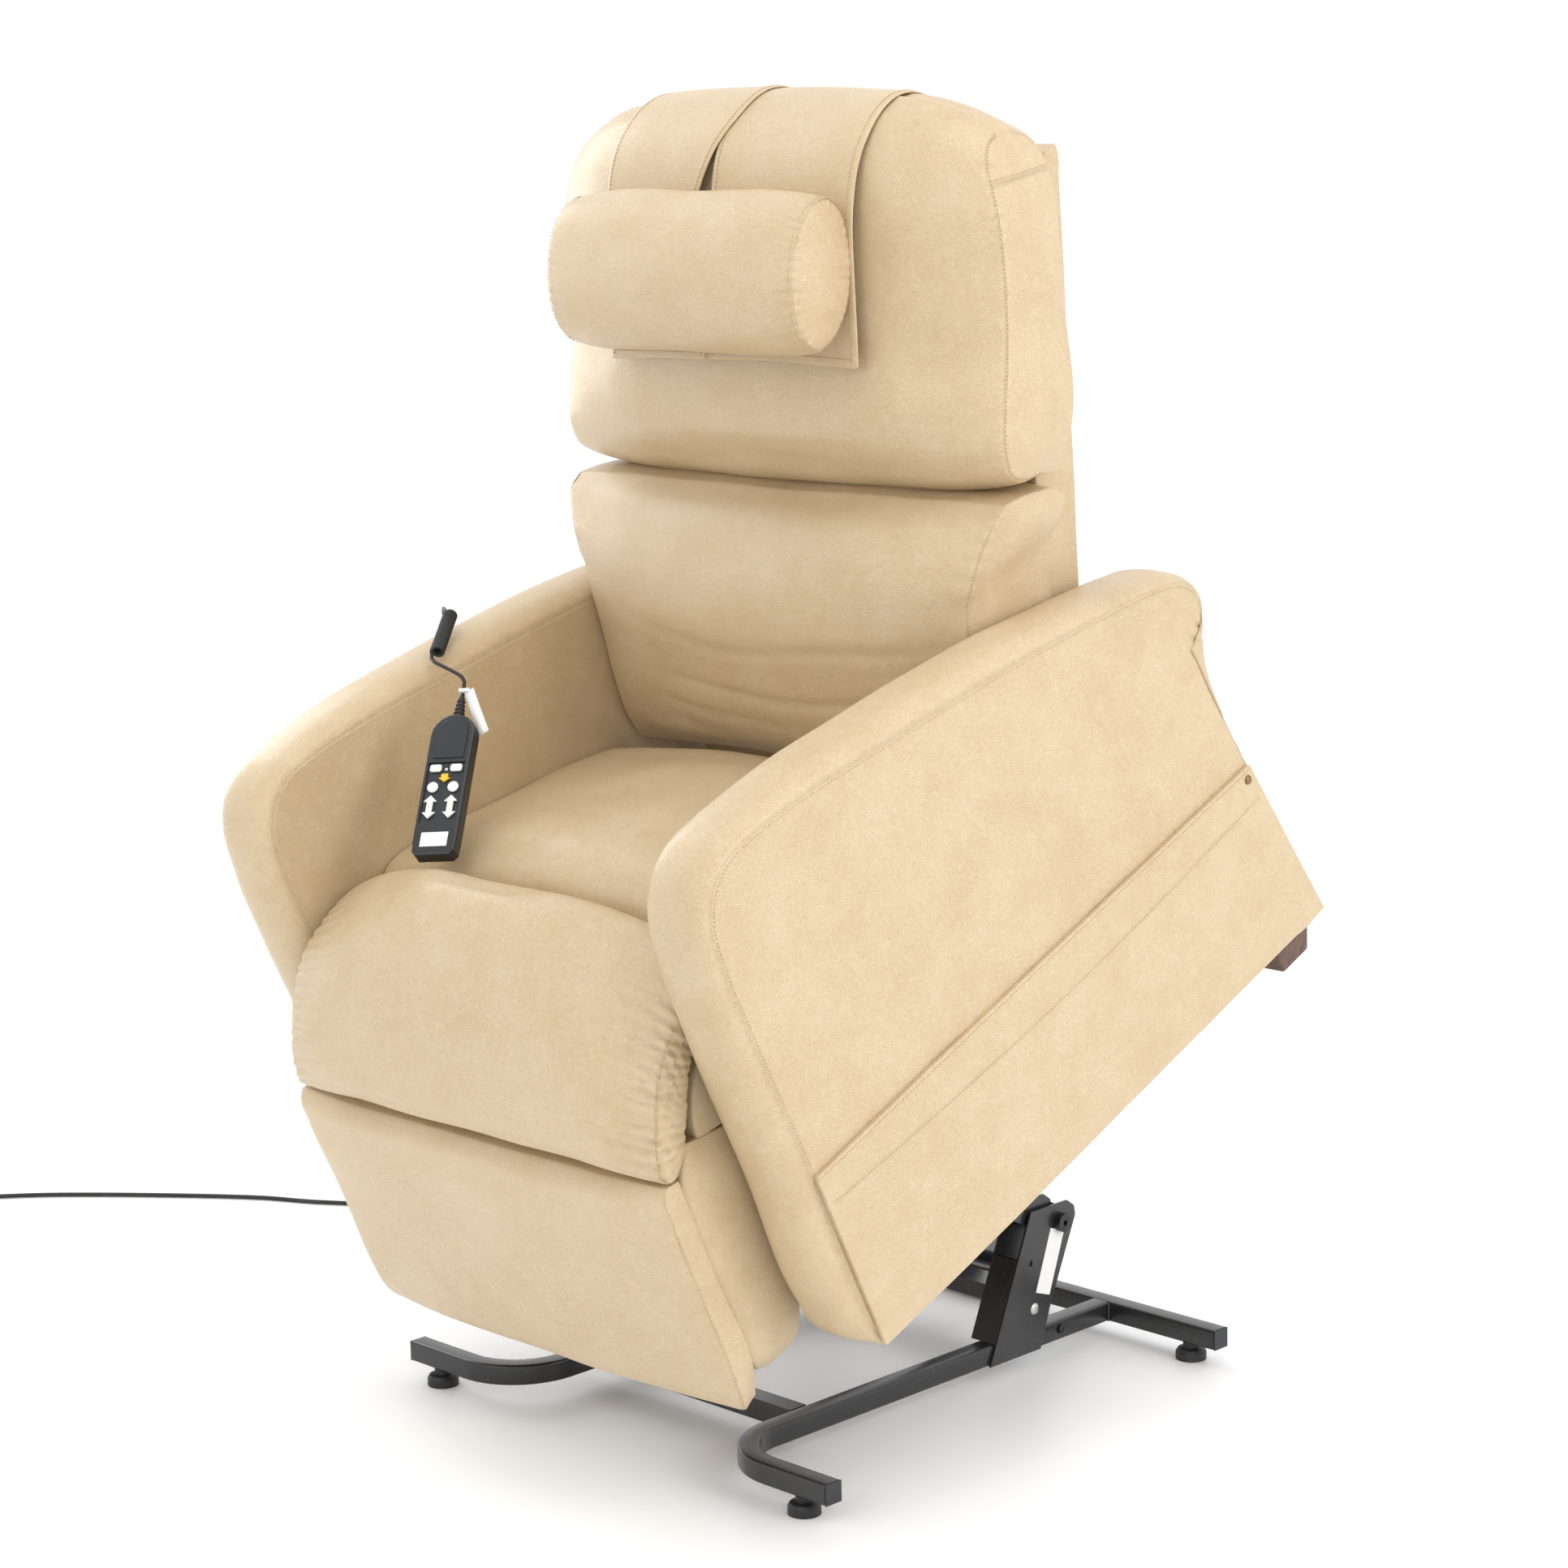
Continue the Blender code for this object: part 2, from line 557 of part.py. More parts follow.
def build_back(looks, chair):
    vinyl = looks["vinyl"]
    frame = Frame("back_pivot", BACK_PIVOT, chair)
    thick = BACK_FRAME_THICK
    frame_outline = [back_line(0.270), back_line(1.036), back_line(1.046, 0.008), back_line(1.046, thick - 0.006),
                     back_line(1.038, thick), back_line(0.270, thick)]
    prism("back_frame", frame_outline, -0.306, 0.306, vinyl, frame)
    cushion_rear = thick + 0.0008
    lower = [
        (*back_line(0.398, cushion_rear), 0, 0), (0.470, 0.416, 0, 0), (0.455, 0.440, -0.004, 0),
        (0.452, 0.480, -0.022, 0), (0.455, 0.550, -0.045, 0), (0.466, 0.620, -0.052, 0), (0.480, 0.670, -0.050, 0),
        (0.502, 0.716, -0.036, 0.003), (0.530, 0.743, -0.016, 0.010), (0.570, 0.735, 0, 0.014),
        (0.640, 0.712, 0, 0.012), (*back_line(0.700, cushion_rear), 0, 0),
    ]
    cushion = padded("lower_back_cushion", lower, -0.309, 0.309, vinyl, frame)
    wing = [
        (*back_line(0.655, cushion_rear), 0, 0), (0.520, 0.664, 0, 0), (0.500, 0.690, 0, 0), (0.508, 0.722, 0, 0),
        (0.530, 0.741, 0, 0), (0.570, 0.733, 0, 0), (0.640, 0.710, 0, 0), (*back_line(0.698, cushion_rear), 0, 0),
    ]
    combine(cushion, "UNION", [padded("cushion_wing", wing, -0.344, 0.344, vinyl, frame, 2)])
    upper = [
        (*back_line(0.724, cushion_rear), 0, 0), (0.610, 0.754, -0.005, -0.006), (0.563, 0.780, -0.018, -0.004),
        (0.570, 0.808, -0.034, 0), (0.590, 0.852, -0.052, 0), (0.617, 0.908, -0.060, 0), (0.655, 0.985, -0.056, 0.008),
        (0.690, 1.050, -0.046, 0.020), (0.712, 1.084, -0.030, 0.040), (0.755, 1.068, 0, 0.074),
        (0.786, 1.050, 0.006, 0.052), (*back_line(1.038, cushion_rear), 0, 0),
    ]
    padded("upper_back_cushion", upper, -0.353, 0.353, vinyl, frame)
    neck_roll(vinyl, frame)
    headrest_flap(vinyl, frame)
    return frame


ROLL_CENTRE = (0.541, 1.028)
ROLL_LEAN = math.radians(59.4)


def neck_roll(look, frame):
    """An oval roll whose ends are drawn in."""
    long_radius, short_radius, drawn_in = 0.094, 0.055, 0.45
    outline = []
    for i in range(18):
        angle = 2 * math.pi * i / 18
        along, out = long_radius * math.cos(angle), short_radius * math.sin(angle)
        dy = along * math.cos(ROLL_LEAN) - out * math.sin(ROLL_LEAN)
        dz = along * math.sin(ROLL_LEAN) + out * math.cos(ROLL_LEAN)
        outline.append((ROLL_CENTRE[0] + drawn_in * dy, ROLL_CENTRE[1] + drawn_in * dz,
                        (1 - drawn_in) * dy, (1 - drawn_in) * dz))
    padded("neck_roll", outline, -0.212, 0.212, look, frame, 12, 6.0)


def headrest_flap(look, frame):
    """A thin flap that lies on the upper cushion's front, goes over its top and hangs behind the back."""
    line = [(0.549, 0.905), (0.592, 0.995), (0.636, 1.073), (0.675, 1.139), (0.715, 1.152), (0.757, 1.152),
            (0.806, 1.108), (0.846, 1.048), (0.842, 1.030), back_line(0.930, -0.004)]
    thick = 0.003
    outer, inner = [], []
    for i, here in enumerate(line):
        before, after = line[max(i - 1, 0)], line[min(i + 1, len(line) - 1)]
        along = Vector((after[0] - before[0], after[1] - before[1])).normalized()
        inner.append(here)
        outer.append((here[0] - along.y * thick, here[1] + along.x * thick))
    prism("headrest_flap", [*inner, *reversed(outer)], -0.196, 0.196, look, frame)


# ---------------------------------------------------------------- legrest


def build_legrest(looks, chair):
    vinyl, steel = looks["vinyl"], looks["black_steel"]
    frame = Frame("legrest_pivot", LEGREST_PIVOT, chair)
    panel = [
        (-0.162, 0.336, 0, 0), (-0.178, 0.337, -0.004, 0), (-0.186, 0.320, -0.008, 0), (-0.188, 0.200, -0.010, 0),
        (-0.190, 0.070, -0.010, 0), (-0.188, 0.042, -0.008, 0), (-0.178, 0.029, -0.002, -0.002), (-0.162, 0.034, 0, 0),
    ]
    padded("legrest_panel", panel, -0.307, 0.307, vinyl, frame)
    core = [(-0.1612, 0.336), (-0.1612, 0.080), (-0.150, 0.062), (-0.128, 0.055), (-0.104, 0.060), (-0.090, 0.078),
            (-0.088, 0.110), (-0.088, 0.322), (-0.100, 0.336)]
    core_block = prism("legrest_core", core, -0.301, 0.301, vinyl, frame)
    wing = [(-0.120, 0.336), (-0.120, 0.058), (-0.104, 0.056), (-0.074, 0.062), (-0.061, 0.080), (-0.058, 0.110),
            (-0.058, 0.322), (-0.070, 0.336)]
    combine(core_block, "UNION", [
        prism(f"core_wing_{name}", wing, *mirrored(side, CORE_WING_X, 0.301), vinyl, frame) for name, side in SIDES
    ])
    leg = LEGREST_PIVOT
    rear, front = -0.070, -0.0876
    strip = [*round_end(leg.y, leg.z, 0.012, 20, 180, 5), (front, 0.380), (front, 0.150), (rear, 0.150)]
    inner = SIDE_PLATE_X + 0.006
    bar = block("legrest_bracket", (-inner - 0.002, front, 0.225), (inner + 0.002, rear - 0.002, 0.245), steel, frame)
    parts = []
    for name, side in SIDES:
        parts.append(prism(f"bracket_strip_{name}", strip, *mirrored(side, inner, inner + 0.005), steel, frame))
        parts.append(cylinder(f"bracket_pin_{name}", (side * (SIDE_PLATE_X - 0.006), leg.y, leg.z),
                              (side * (inner + 0.003), leg.y, leg.z), 0.005, steel, frame))
    combine(bar, "UNION", parts)
    return frame


# ---------------------------------------------------------------- handset


def key_outline(kind, x, y):
    """Outlines of the keys in the handset's face."""
    if kind == "round":
        return [(x + 0.0066 * math.cos(a), y + 0.0066 * math.sin(a))
                for a in (2 * math.pi * i / 14 for i in range(14))]
    if kind == "bar":
        w, h, c = 0.0070, 0.0045, 0.0018
        return [(x - w, y - h + c), (x - w + c, y - h), (x + w - c, y - h), (x + w, y - h + c),
                (x + w, y + h - c), (x + w - c, y + h), (x - w + c, y + h), (x - w, y + h - c)]
    if kind == "single_arrow":
        return [(x, y - 0.0055), (x + 0.0070, y), (x + 0.0040, y), (x + 0.0040, y + 0.0050), (x - 0.0040, y + 0.0050),
                (x - 0.0040, y), (x - 0.0070, y)]
    head, shaft, tip, neck = 0.0080, 0.0036, 0.0150, 0.0070
    return [(x, y - tip), (x + head, y - neck), (x + shaft, y - neck), (x + shaft, y + neck), (x + head, y + neck),
            (x, y + tip), (x - head, y + neck), (x - shaft, y + neck), (x - shaft, y - neck), (x - head, y - neck)]


def upright_prism(name, outline, z_low, z_high, look, frame, origin=None):
    """An outline of (x, y) points in the handset's face, extruded along its normal."""
    bm = bmesh.new()
    ends = [[bm.verts.new((x, y, z)) for x, y in outline] for z in (z_low, z_high)]
    bm.faces.new(reversed(ends[0]))
    bm.faces.new(ends[1])
    for i in range(len(outline)):
        j = (i + 1) % len(outline)
        bm.faces.new((ends[0][i], ends[0][j], ends[1][j], ends[1][i]))
    return finish(name, bm, look, frame, origin)


KEYS = (
    ("key_lift_preset", "bar", -KEY_COLUMN, 0.1130, "key_white"),
    ("key_lie_preset", "bar", KEY_COLUMN, 0.1130, "key_white"),
    ("key_down", "single_arrow", 0.0, 0.1000, "key_yellow"),
    ("key_memory_left", "round", -KEY_COLUMN, 0.0880, "key_white"),
    ("key_memory_right", "round", KEY_COLUMN, 0.0880, "key_white"),
    ("key_legrest", "double_arrow", -KEY_COLUMN, 0.0620, "key_white"),
    ("key_back", "double_arrow", KEY_COLUMN, 0.0620, "key_white"),
)


def build_handset(looks, chair):
    plastic, rubber = looks["black_plastic"], looks["rubber"]
    across = (HANDSET_ACROSS - HANDSET_ACROSS.dot(HANDSET_UP) * HANDSET_UP).normalized()
    normal = across.cross(HANDSET_UP)
    frame = Frame("handset_frame", (0, 0, 0), chair, HANDSET_FOOT - chair.origin)
    frame.empty.rotation_euler = Matrix((across, HANDSET_UP, normal)).transposed().to_euler()
    half = HANDSET_HALF
    top = HANDSET_LENGTH - half
    angles = [math.pi * i / 10 for i in range(11)]
    outline = [(-half + 0.006, 0), (half - 0.006, 0), (half - 0.001, 0.006), (half, 0.020),
               *[(half * math.cos(a), top + half * math.sin(a)) for a in angles],
               (-half, 0.020), (-half + 0.001, 0.006)]
    case = bevel(upright_prism("handset_case", outline, -HANDSET_THICK, 0, plastic, frame), 0.003, 2, 60)
    pocket = upright_prism("keypad_recess", [(-0.0225, 0.042), (0.0225, 0.042), (0.0225, 0.121), (-0.0225, 0.121)],
                           -0.0022, 0.01, plastic, frame)
    combine(case, "DIFFERENCE", [pocket])
    for name, kind, x, y, look in KEYS:
        upright_prism(name, key_outline(kind, x, y), -0.0010, 0.0010, looks[look], frame, (x, y, 0))
    centre = -HANDSET_THICK / 2
    relief_start = HANDSET_LENGTH + GAP
    cylinder("handset_strain_relief", (0, relief_start, centre), (0, relief_start + 0.026, centre), 0.0060, rubber,
             frame, 12, 0.0034)
    start = HANDSET_FOOT + HANDSET_UP * (relief_start + 0.0265) + normal * centre
    handset_cord(rubber, chair, start)
    return frame


CURL_NEAR = Vector((-0.310, 0.225, 0.6835))
CURL_FAR = Vector((-0.364, 0.300, 0.6855))


def handset_cord(rubber, chair, start):
    """Lead from the strain relief, the curled stretch across the arm, and the tail down to the seat frame."""
    cylinder("handset_curl", CURL_NEAR, CURL_FAR, CURLY_OUTSIDE / 2, rubber, chair, 14)
    axis = (CURL_FAR - CURL_NEAR).normalized()
    side = axis.cross(Vector((0, 0, 1))).normalized()
    rim = CURLY_OUTSIDE / 2 - CURLY_CORD / 2
    near = CURL_NEAR - axis * 0.0030 - side * rim
    far = CURL_FAR + axis * 0.0030 + side * rim
    lead = [start, start + HANDSET_UP * 0.010, start + HANDSET_UP * 0.022 + Vector((-0.002, 0, 0.006)),
            near - axis * 0.012 + Vector((0.006, 0, -0.004)), near]
    cord_tube("handset_lead", lead, 0.008, CURLY_CORD, rubber, chair)
    tail = [far, far + axis * 0.012 + Vector((-0.004, 0, 0)), (-0.397, 0.318, 0.6815), (-0.4145, 0.322, 0.650),
            (-0.418, 0.324, 0.600), (-0.4172, 0.325, 0.450), (-0.4172, 0.330, 0.200), (-0.4172, 0.333, 0.075), (-0.4150, 0.334, 0.052),
            (-0.400, 0.335, 0.042), (-0.370, 0.337, 0.044), (-0.310, 0.340, 0.046), (-0.262, 0.342, 0.070), (-0.245, 0.344, 0.130),
            (-0.236, 0.346, 0.200), (-0.228, 0.348, 0.245), (-0.2130, 0.350, 0.250)]
    cord_tube("handset_tail", tail, 0.016, CURLY_CORD, rubber, chair)


# ---------------------------------------------------------------- whole chair


def make_looks():
    return {
        "vinyl": material("vinyl", (0.74, 0.58, 0.36), 0.42),
        "black_steel": material("black_steel", (0.025, 0.025, 0.027), 0.35),
        "bolt_steel": material("bolt_steel", (0.05, 0.05, 0.05), 0.35, 0.6),
        "zinc": material("zinc", (0.62, 0.62, 0.60), 0.3, 1.0),
        "rubber": material("rubber", (0.015, 0.015, 0.016), 0.6),
        "black_plastic": material("black_plastic", (0.03, 0.03, 0.035), 0.4),
        "wood": material("wood", (0.19, 0.08, 0.03), 0.4),
        "plywood": material("plywood", (0.55, 0.38, 0.20), 0.6),
        "key_white": material("key_white", (0.80, 0.81, 0.78), 0.5),
        "key_yellow": material("key_yellow", (0.90, 0.56, 0.05), 0.5),
    }


def build_chair_body(looks, chair):
    vinyl, steel = looks["vinyl"], looks["black_steel"]
    for name, side in SIDES:
        seat_side_plate(f"seat_side_plate_{name}", side, steel, chair)
        chair_arm(f"arm_{name}", side, vinyl, chair)
        lower_side_panel(f"lower_side_panel_{name}", side, vinyl, chair)
        wooden_foot(f"rear_wooden_foot_{name}", side, looks["wood"], chair)
    seat_rails(steel, chair)
    seat_deck(looks["plywood"], chair)
    seat_cushions(vinyl, chair)


def main():
    for obj in list(bpy.data.objects):
        bpy.data.objects.remove(obj)
    looks = make_looks()
    base = build_base(looks)
    build_lift_arms(looks, base)
    actuator("lift_actuator", base, LIFT_ACTUATOR_PIVOT, lifted(LIFT_ROD_END), 0.36, 0.178, looks)
    chair = Frame("chair_pivot", CHAIR_PIVOT, base, lifted(CHAIR_PIVOT), TILT)
    build_chair_body(looks, chair)
    build_back(looks, chair)
    build_legrest(looks, chair)
    actuator("back_actuator", chair, BACK_ACTUATOR_PIVOT, BACK_ROD_END, 0.150, 0.090, looks)
    actuator("legrest_actuator", chair, LEG_ACTUATOR_PIVOT, LEG_ROD_END, 0.300, 0.060, looks)
    build_handset(looks, chair)


main()
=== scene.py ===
"""Looks of the lift recliner chair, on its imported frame. Metres, except the side profiles' millimetres.

The soft pieces are drawn in the seated chair, which the lift tips forward by TILT."""

import json
import math

import bmesh
import bpy
import numpy as np
from mathutils import Matrix, Vector
from mathutils.bvhtree import BVHTree


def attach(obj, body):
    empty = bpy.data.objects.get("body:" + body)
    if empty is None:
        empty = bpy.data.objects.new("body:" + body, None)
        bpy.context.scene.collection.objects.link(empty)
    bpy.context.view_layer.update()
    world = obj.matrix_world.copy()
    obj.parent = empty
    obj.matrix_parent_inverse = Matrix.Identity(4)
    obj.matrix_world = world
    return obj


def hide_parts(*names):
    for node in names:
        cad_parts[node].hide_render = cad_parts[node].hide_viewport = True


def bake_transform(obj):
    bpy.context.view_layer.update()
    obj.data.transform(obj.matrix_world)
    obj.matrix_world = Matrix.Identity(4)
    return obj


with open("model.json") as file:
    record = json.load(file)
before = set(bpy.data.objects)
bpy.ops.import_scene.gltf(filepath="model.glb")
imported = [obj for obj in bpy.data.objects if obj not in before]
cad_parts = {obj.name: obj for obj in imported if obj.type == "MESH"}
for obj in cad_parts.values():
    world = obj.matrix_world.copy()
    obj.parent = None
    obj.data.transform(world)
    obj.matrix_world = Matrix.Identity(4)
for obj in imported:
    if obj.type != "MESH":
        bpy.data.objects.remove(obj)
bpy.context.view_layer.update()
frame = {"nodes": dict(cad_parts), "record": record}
JOINT_AT = {joint["name"]: Vector(joint["pos_m"]) for joint in frame["record"]["behaviour"]["joints"]
            if "pos_m" in joint}

# The seated drawing, as (y, z), and how it stands in the lifted pose.
TILT = math.radians(24.3)
CHAIR_PIVOT = Vector((0, 0.1316, 0.155))
SEATED = (Matrix.Translation(JOINT_AT["chair_tilt"]) @ Matrix.Rotation(TILT, 4, "X")
          @ Matrix.Translation(-CHAIR_PIVOT))
WORLD = Matrix.Identity(4)
# The base is drawn from the front of its stubs; the uprights' pivot is at y = 0.582 there.
BASE_Y = JOINT_AT["lift"].y - 0.582
BASE = Matrix.Translation((0, BASE_Y, 0))
SIDES = (("right", -1), ("left", 1))

CAMERA_LENS = 83.85
CAMERA_PLACE = Vector((2.990, -2.681 + BASE_Y, 1.525))
CAMERA_AZIMUTH = math.radians(44.99)
CAMERA_HEIGHT = math.radians(10.57)
CAMERA_ROLL = math.radians(-1.07)

ARM_MIDDLE = 0.359
FLOOR_REACH = 60.0
SEAM_DEPTH = 0.0015
SEAM_WIDTH = 0.0022
STITCH_PITCH = 0.0046
STITCH_LENGTH = 0.0031
CLOTH_FRAMES = 20
NEAR_SEAM = (0.0020, 0.0048, 0.0105)
BAR_CORNERS = ((-1, -1), (1, -1), (1, 1), (-1, 1))
BAR_FACES = ((0, 3, 2, 1), (4, 5, 6, 7), (0, 1, 5, 4), (1, 2, 6, 5), (2, 3, 7, 6), (3, 0, 4, 7))

MAINS_CORD = 0.006
CURLY_CORD = 0.0045
CURLY_OUTSIDE = 0.018

# Millimetres, for the side profiles.
SEAT_HALF = 311
ARM_HALF = 45
BACK_SLOPE = 0.3706
CUSHION_BEHIND = 31
CUSHION_SIDES_BEHIND = 58

ROLL_CENTRE = (0.541, 1.028)
ROLL_LEAN = math.radians(59.4)
ROLL_LONG = 0.094
ROLL_SHORT = 0.055
ROLL_REAR = 0.047
ROLL_HALF = 0.198
ROLL_CAP = 0.90

FLAP_HALF = 0.196
FLAP_THICK = 0.0030
FLAP_LIFT = 0.0030
HEM_LEVEL = 0.016
FLAP_HANG = 0.013
FLAP_ACROSS = 26
FLAP_SHARES = np.linspace(0.0, 1.0, 90)
FLAP_SLIT_AT = (0.0, 0.30, 0.36, 0.56, 1.0)
FLAP_SLIT_RIGHT = (-0.028, -0.030, -0.046, -0.006, -0.004)
FLAP_SLIT_LEFT = (-0.027, -0.026, -0.018, -0.024, -0.024)
FLAP_SIDE_VIEW = (
    (0.488, 0.853), (0.512, 0.918), (0.552, 0.985), (0.595, 1.055), (0.625, 1.105), (0.650, 1.150),
    (0.690, 1.185), (0.740, 1.195), (0.790, 1.180), (0.835, 1.140), (0.860, 1.090), (0.880, 1.040),
)

MAINS_EXIT = Vector((-0.1154, 0.733, 0.030))
RELIEF = 0.030
MAINS_ROUTE = [
    (-0.160, 0.733, 0.0285), (-0.182, 0.738, 0.018), (-0.205, 0.750, 0.007), (-0.235, 0.775, 0.0032),
    (-0.290, 0.826, 0.0032), (-0.370, 0.858, 0.0032), (-0.470, 0.835, 0.0032), (-0.600, 0.725, 0.0032),
    (-0.780, 0.545, 0.0032), (-0.991, 0.387, 0.0032), (-1.097, 0.328, 0.0032), (-1.219, 0.236, 0.0032),
    (-1.323, 0.147, 0.0032), (-1.3815, 0.085, 0.0032), (-1.4106, 0.0509, 0.0032),
]
MAINS_COIL = Vector((-1.455, 0.052, 0.0))
COIL_INNER = 0.0296
COIL_OUTER = 0.0366
COIL_ENTRY = math.radians(-37.2)
COIL_TURNS = 4.1
COIL_STEPS = 98
COIL_LOW = 0.0036
COIL_HIGH = 0.0098

HANDSET_FOOT = Vector((-0.157, 0.010, 0.561))
HANDSET_LENGTH = 0.186
HANDSET_HALF = 0.027
HANDSET_THICK = 0.020
HANDSET_UP = Vector((-0.362, 0.801, 0.477)).normalized()
HANDSET_ACROSS = Vector((0.887, 0.434, -0.157))
HANDSET_ACROSS = (HANDSET_ACROSS - HANDSET_ACROSS.dot(HANDSET_UP) * HANDSET_UP).normalized()
HANDSET_NORMAL = HANDSET_ACROSS.cross(HANDSET_UP)
HANDSET = SEATED @ (Matrix.Translation(HANDSET_FOOT)
                    @ Matrix((HANDSET_ACROSS, HANDSET_UP, HANDSET_NORMAL)).transposed().to_4x4())
CURL_NEAR = Vector((-0.310, 0.225, 0.6835))
CURL_FAR = Vector((-0.364, 0.300, 0.6855))
CURL_TURNS = 17
HANDSET_TAIL = [
    (-0.384, 0.309, 0.6835), (-0.399, 0.318, 0.6800), (-0.4145, 0.322, 0.650), (-0.418, 0.324, 0.600),
    (-0.4172, 0.325, 0.450), (-0.4172, 0.330, 0.200), (-0.4172, 0.333, 0.075), (-0.4150, 0.334, 0.052),
    (-0.400, 0.335, 0.042), (-0.370, 0.337, 0.044), (-0.310, 0.340, 0.046), (-0.262, 0.342, 0.070),
    (-0.245, 0.344, 0.130), (-0.236, 0.346, 0.200), (-0.228, 0.348, 0.245), (-0.2130, 0.350, 0.250),
]

TUBE = 0.0254
TUBE_MIDDLE = 0.0347
TUBE_CORNER = 0.0034
RAIL_X = 0.1743
RAIL_BEND = 0.080
STUB_END_X = 0.352
REAR_BAR_Y = 0.6907

# Linear colours of the vinyl.
TAN = (0.672, 0.526, 0.332)
TAN_DARK = (0.615, 0.462, 0.268)
TAN_LIGHT = (0.735, 0.615, 0.440)


# ---------------------------------------------------------------- materials


class Nodes:
    """A short way to wire a material."""

    def __init__(self, name):
        self.material = bpy.data.materials.new(name)
        self.material.use_nodes = True
        self.tree = self.material.node_tree
        self.shader = self.tree.nodes["Principled BSDF"]
        self.where = self.add("ShaderNodeTexCoord").outputs["Object"]

    def add(self, kind, **values):
        node = self.tree.nodes.new(kind)
        for key, value in values.items():
            if key in node.inputs:
                self.feed(node.inputs[key], value)
            else:
                setattr(node, key, value)
        return node

    def feed(self, socket, value):
        if isinstance(value, bpy.types.NodeSocket):
            self.tree.links.new(value, socket)
        else:
            socket.default_value = value

    def noise(self, scale, detail=3.0, rough=0.5, where=None):
        return self.add("ShaderNodeTexNoise", Vector=where or self.where, Scale=scale, Detail=detail,
                        Roughness=rough).outputs["Fac"]

    def math(self, operation, a, b=0.0, clamp=False):
        node = self.add("ShaderNodeMath", operation=operation, use_clamp=clamp)
        self.feed(node.inputs[0], a)
        self.feed(node.inputs[1], b)
        return node.outputs[0]

    def ramp(self, value, low, high, from_low=0.0, from_high=1.0):
        node = self.add("ShaderNodeMapRange", clamp=True)
        self.feed(node.inputs["Value"], value)
        ends = {"From Min": from_low, "From Max": from_high, "To Min": low, "To Max": high}
        for key, number in ends.items():
            node.inputs[key].default_value = number
        return node.outputs["Result"]

    def mix(self, fac, a, b):
        node = self.add("ShaderNodeMix", data_type="RGBA")
        self.feed(node.inputs["Factor"], fac)
        for socket, colour in (("A", a), ("B", b)):
            target = [i for i in node.inputs if i.name == socket and i.type == "RGBA"][0]
            self.feed(target, colour if isinstance(colour, bpy.types.NodeSocket) else (*colour, 1))
        return [o for o in node.outputs if o.type == "RGBA"][0]

    def bump(self, height, distance, strength=1.0, under=None):
        node = self.add("ShaderNodeBump", Strength=strength, Distance=distance, Height=height)
        if under:
            self.feed(node.inputs["Normal"], under)
        return node.outputs["Normal"]

    def finish(self, colour, roughness, normal=None, **fixed):
        self.feed(self.shader.inputs["Base Color"], colour if isinstance(colour, bpy.types.NodeSocket)
                  else (*colour, 1))
        self.feed(self.shader.inputs["Roughness"], roughness)
        if normal:
            self.feed(self.shader.inputs["Normal"], normal)
        for key, value in fixed.items():
            self.shader.inputs[key.replace("_", " ")].default_value = value
        return self.material


def vinyl_material(name, base, dark, light):
    """Soft grained hide: a pebbled grain, a cloudy two-tone colour, and painted shade in the seams, creases
    and folds.
    """
    n = Nodes(name)
    clouds = n.noise(14.0, 5.0, 0.6)
    streaks = n.noise(60.0, 5.0, 0.65)
    warped = n.add("ShaderNodeVectorMath", operation="ADD")
    n.feed(warped.inputs[0], n.where)
    wobble = n.add("ShaderNodeTexNoise", Vector=n.where, Scale=160.0, Detail=2.0)
    scaled = n.add("ShaderNodeVectorMath", operation="SCALE")
    n.feed(scaled.inputs[0], wobble.outputs["Color"])
    scaled.inputs["Scale"].default_value = 0.004
    n.feed(warped.inputs[1], scaled.outputs[0])
    cells = n.add("ShaderNodeTexVoronoi", feature="DISTANCE_TO_EDGE", Vector=warped.outputs[0], Scale=430.0)
    pebble = n.ramp(cells.outputs["Distance"], 0.0, 1.0, 0.0, 0.16)
    # The attribute read here marks where shade is painted into the colour: seam grooves, creases and pucker
    # valleys.
    fold_shade = n.add("ShaderNodeAttribute", attribute_name="painted_fold_shade").outputs["Fac"]
    tone = n.mix(n.ramp(clouds, 0.0, 1.0, 0.30, 0.70), dark, base)
    tone = n.mix(n.ramp(streaks, 0.0, 0.40, 0.50, 0.78), tone, light)
    tone = n.mix(n.ramp(pebble, 0.22, 0.0), tone, dark)
    # Painted shade: the colour darkens towards a deep tan along seams, creases and folds.
    tone = n.mix(n.math("MULTIPLY", fold_shade, 0.7, True), tone, tuple(0.45 * c for c in dark))
    grain = n.math("ADD", n.math("MULTIPLY", pebble, 0.7), n.math("MULTIPLY", n.noise(1100.0, 2.0), 0.3))
    soft = n.bump(n.noise(24.0, 3.0), 0.0014, 0.5)
    rough = n.ramp(streaks, 0.31, 0.45, 0.3, 0.7)
    return n.finish(tone, rough, n.bump(grain, 0.0008, 0.75, soft), Specular_IOR_Level=0.6,
                    Coat_Weight=0.25, Coat_Roughness=0.24)


def plain_material(name, base, other, roughness, grain_scale, grain_depth, metallic):
    """Paint, rubber or plastic: a faint mottle in colour and gloss, and a fine grain."""
    n = Nodes(f"{name}_look")
    dusty = n.noise(18.0, 4.0, 0.6)
    tone = n.mix(n.ramp(dusty, 0.0, 1.0, 0.45, 0.75), base, other)
    grain = n.bump(n.noise(grain_scale, 2.0), grain_depth, 0.5)
    return n.finish(tone, n.ramp(dusty, roughness - 0.05, roughness + 0.09), grain, Metallic=metallic)


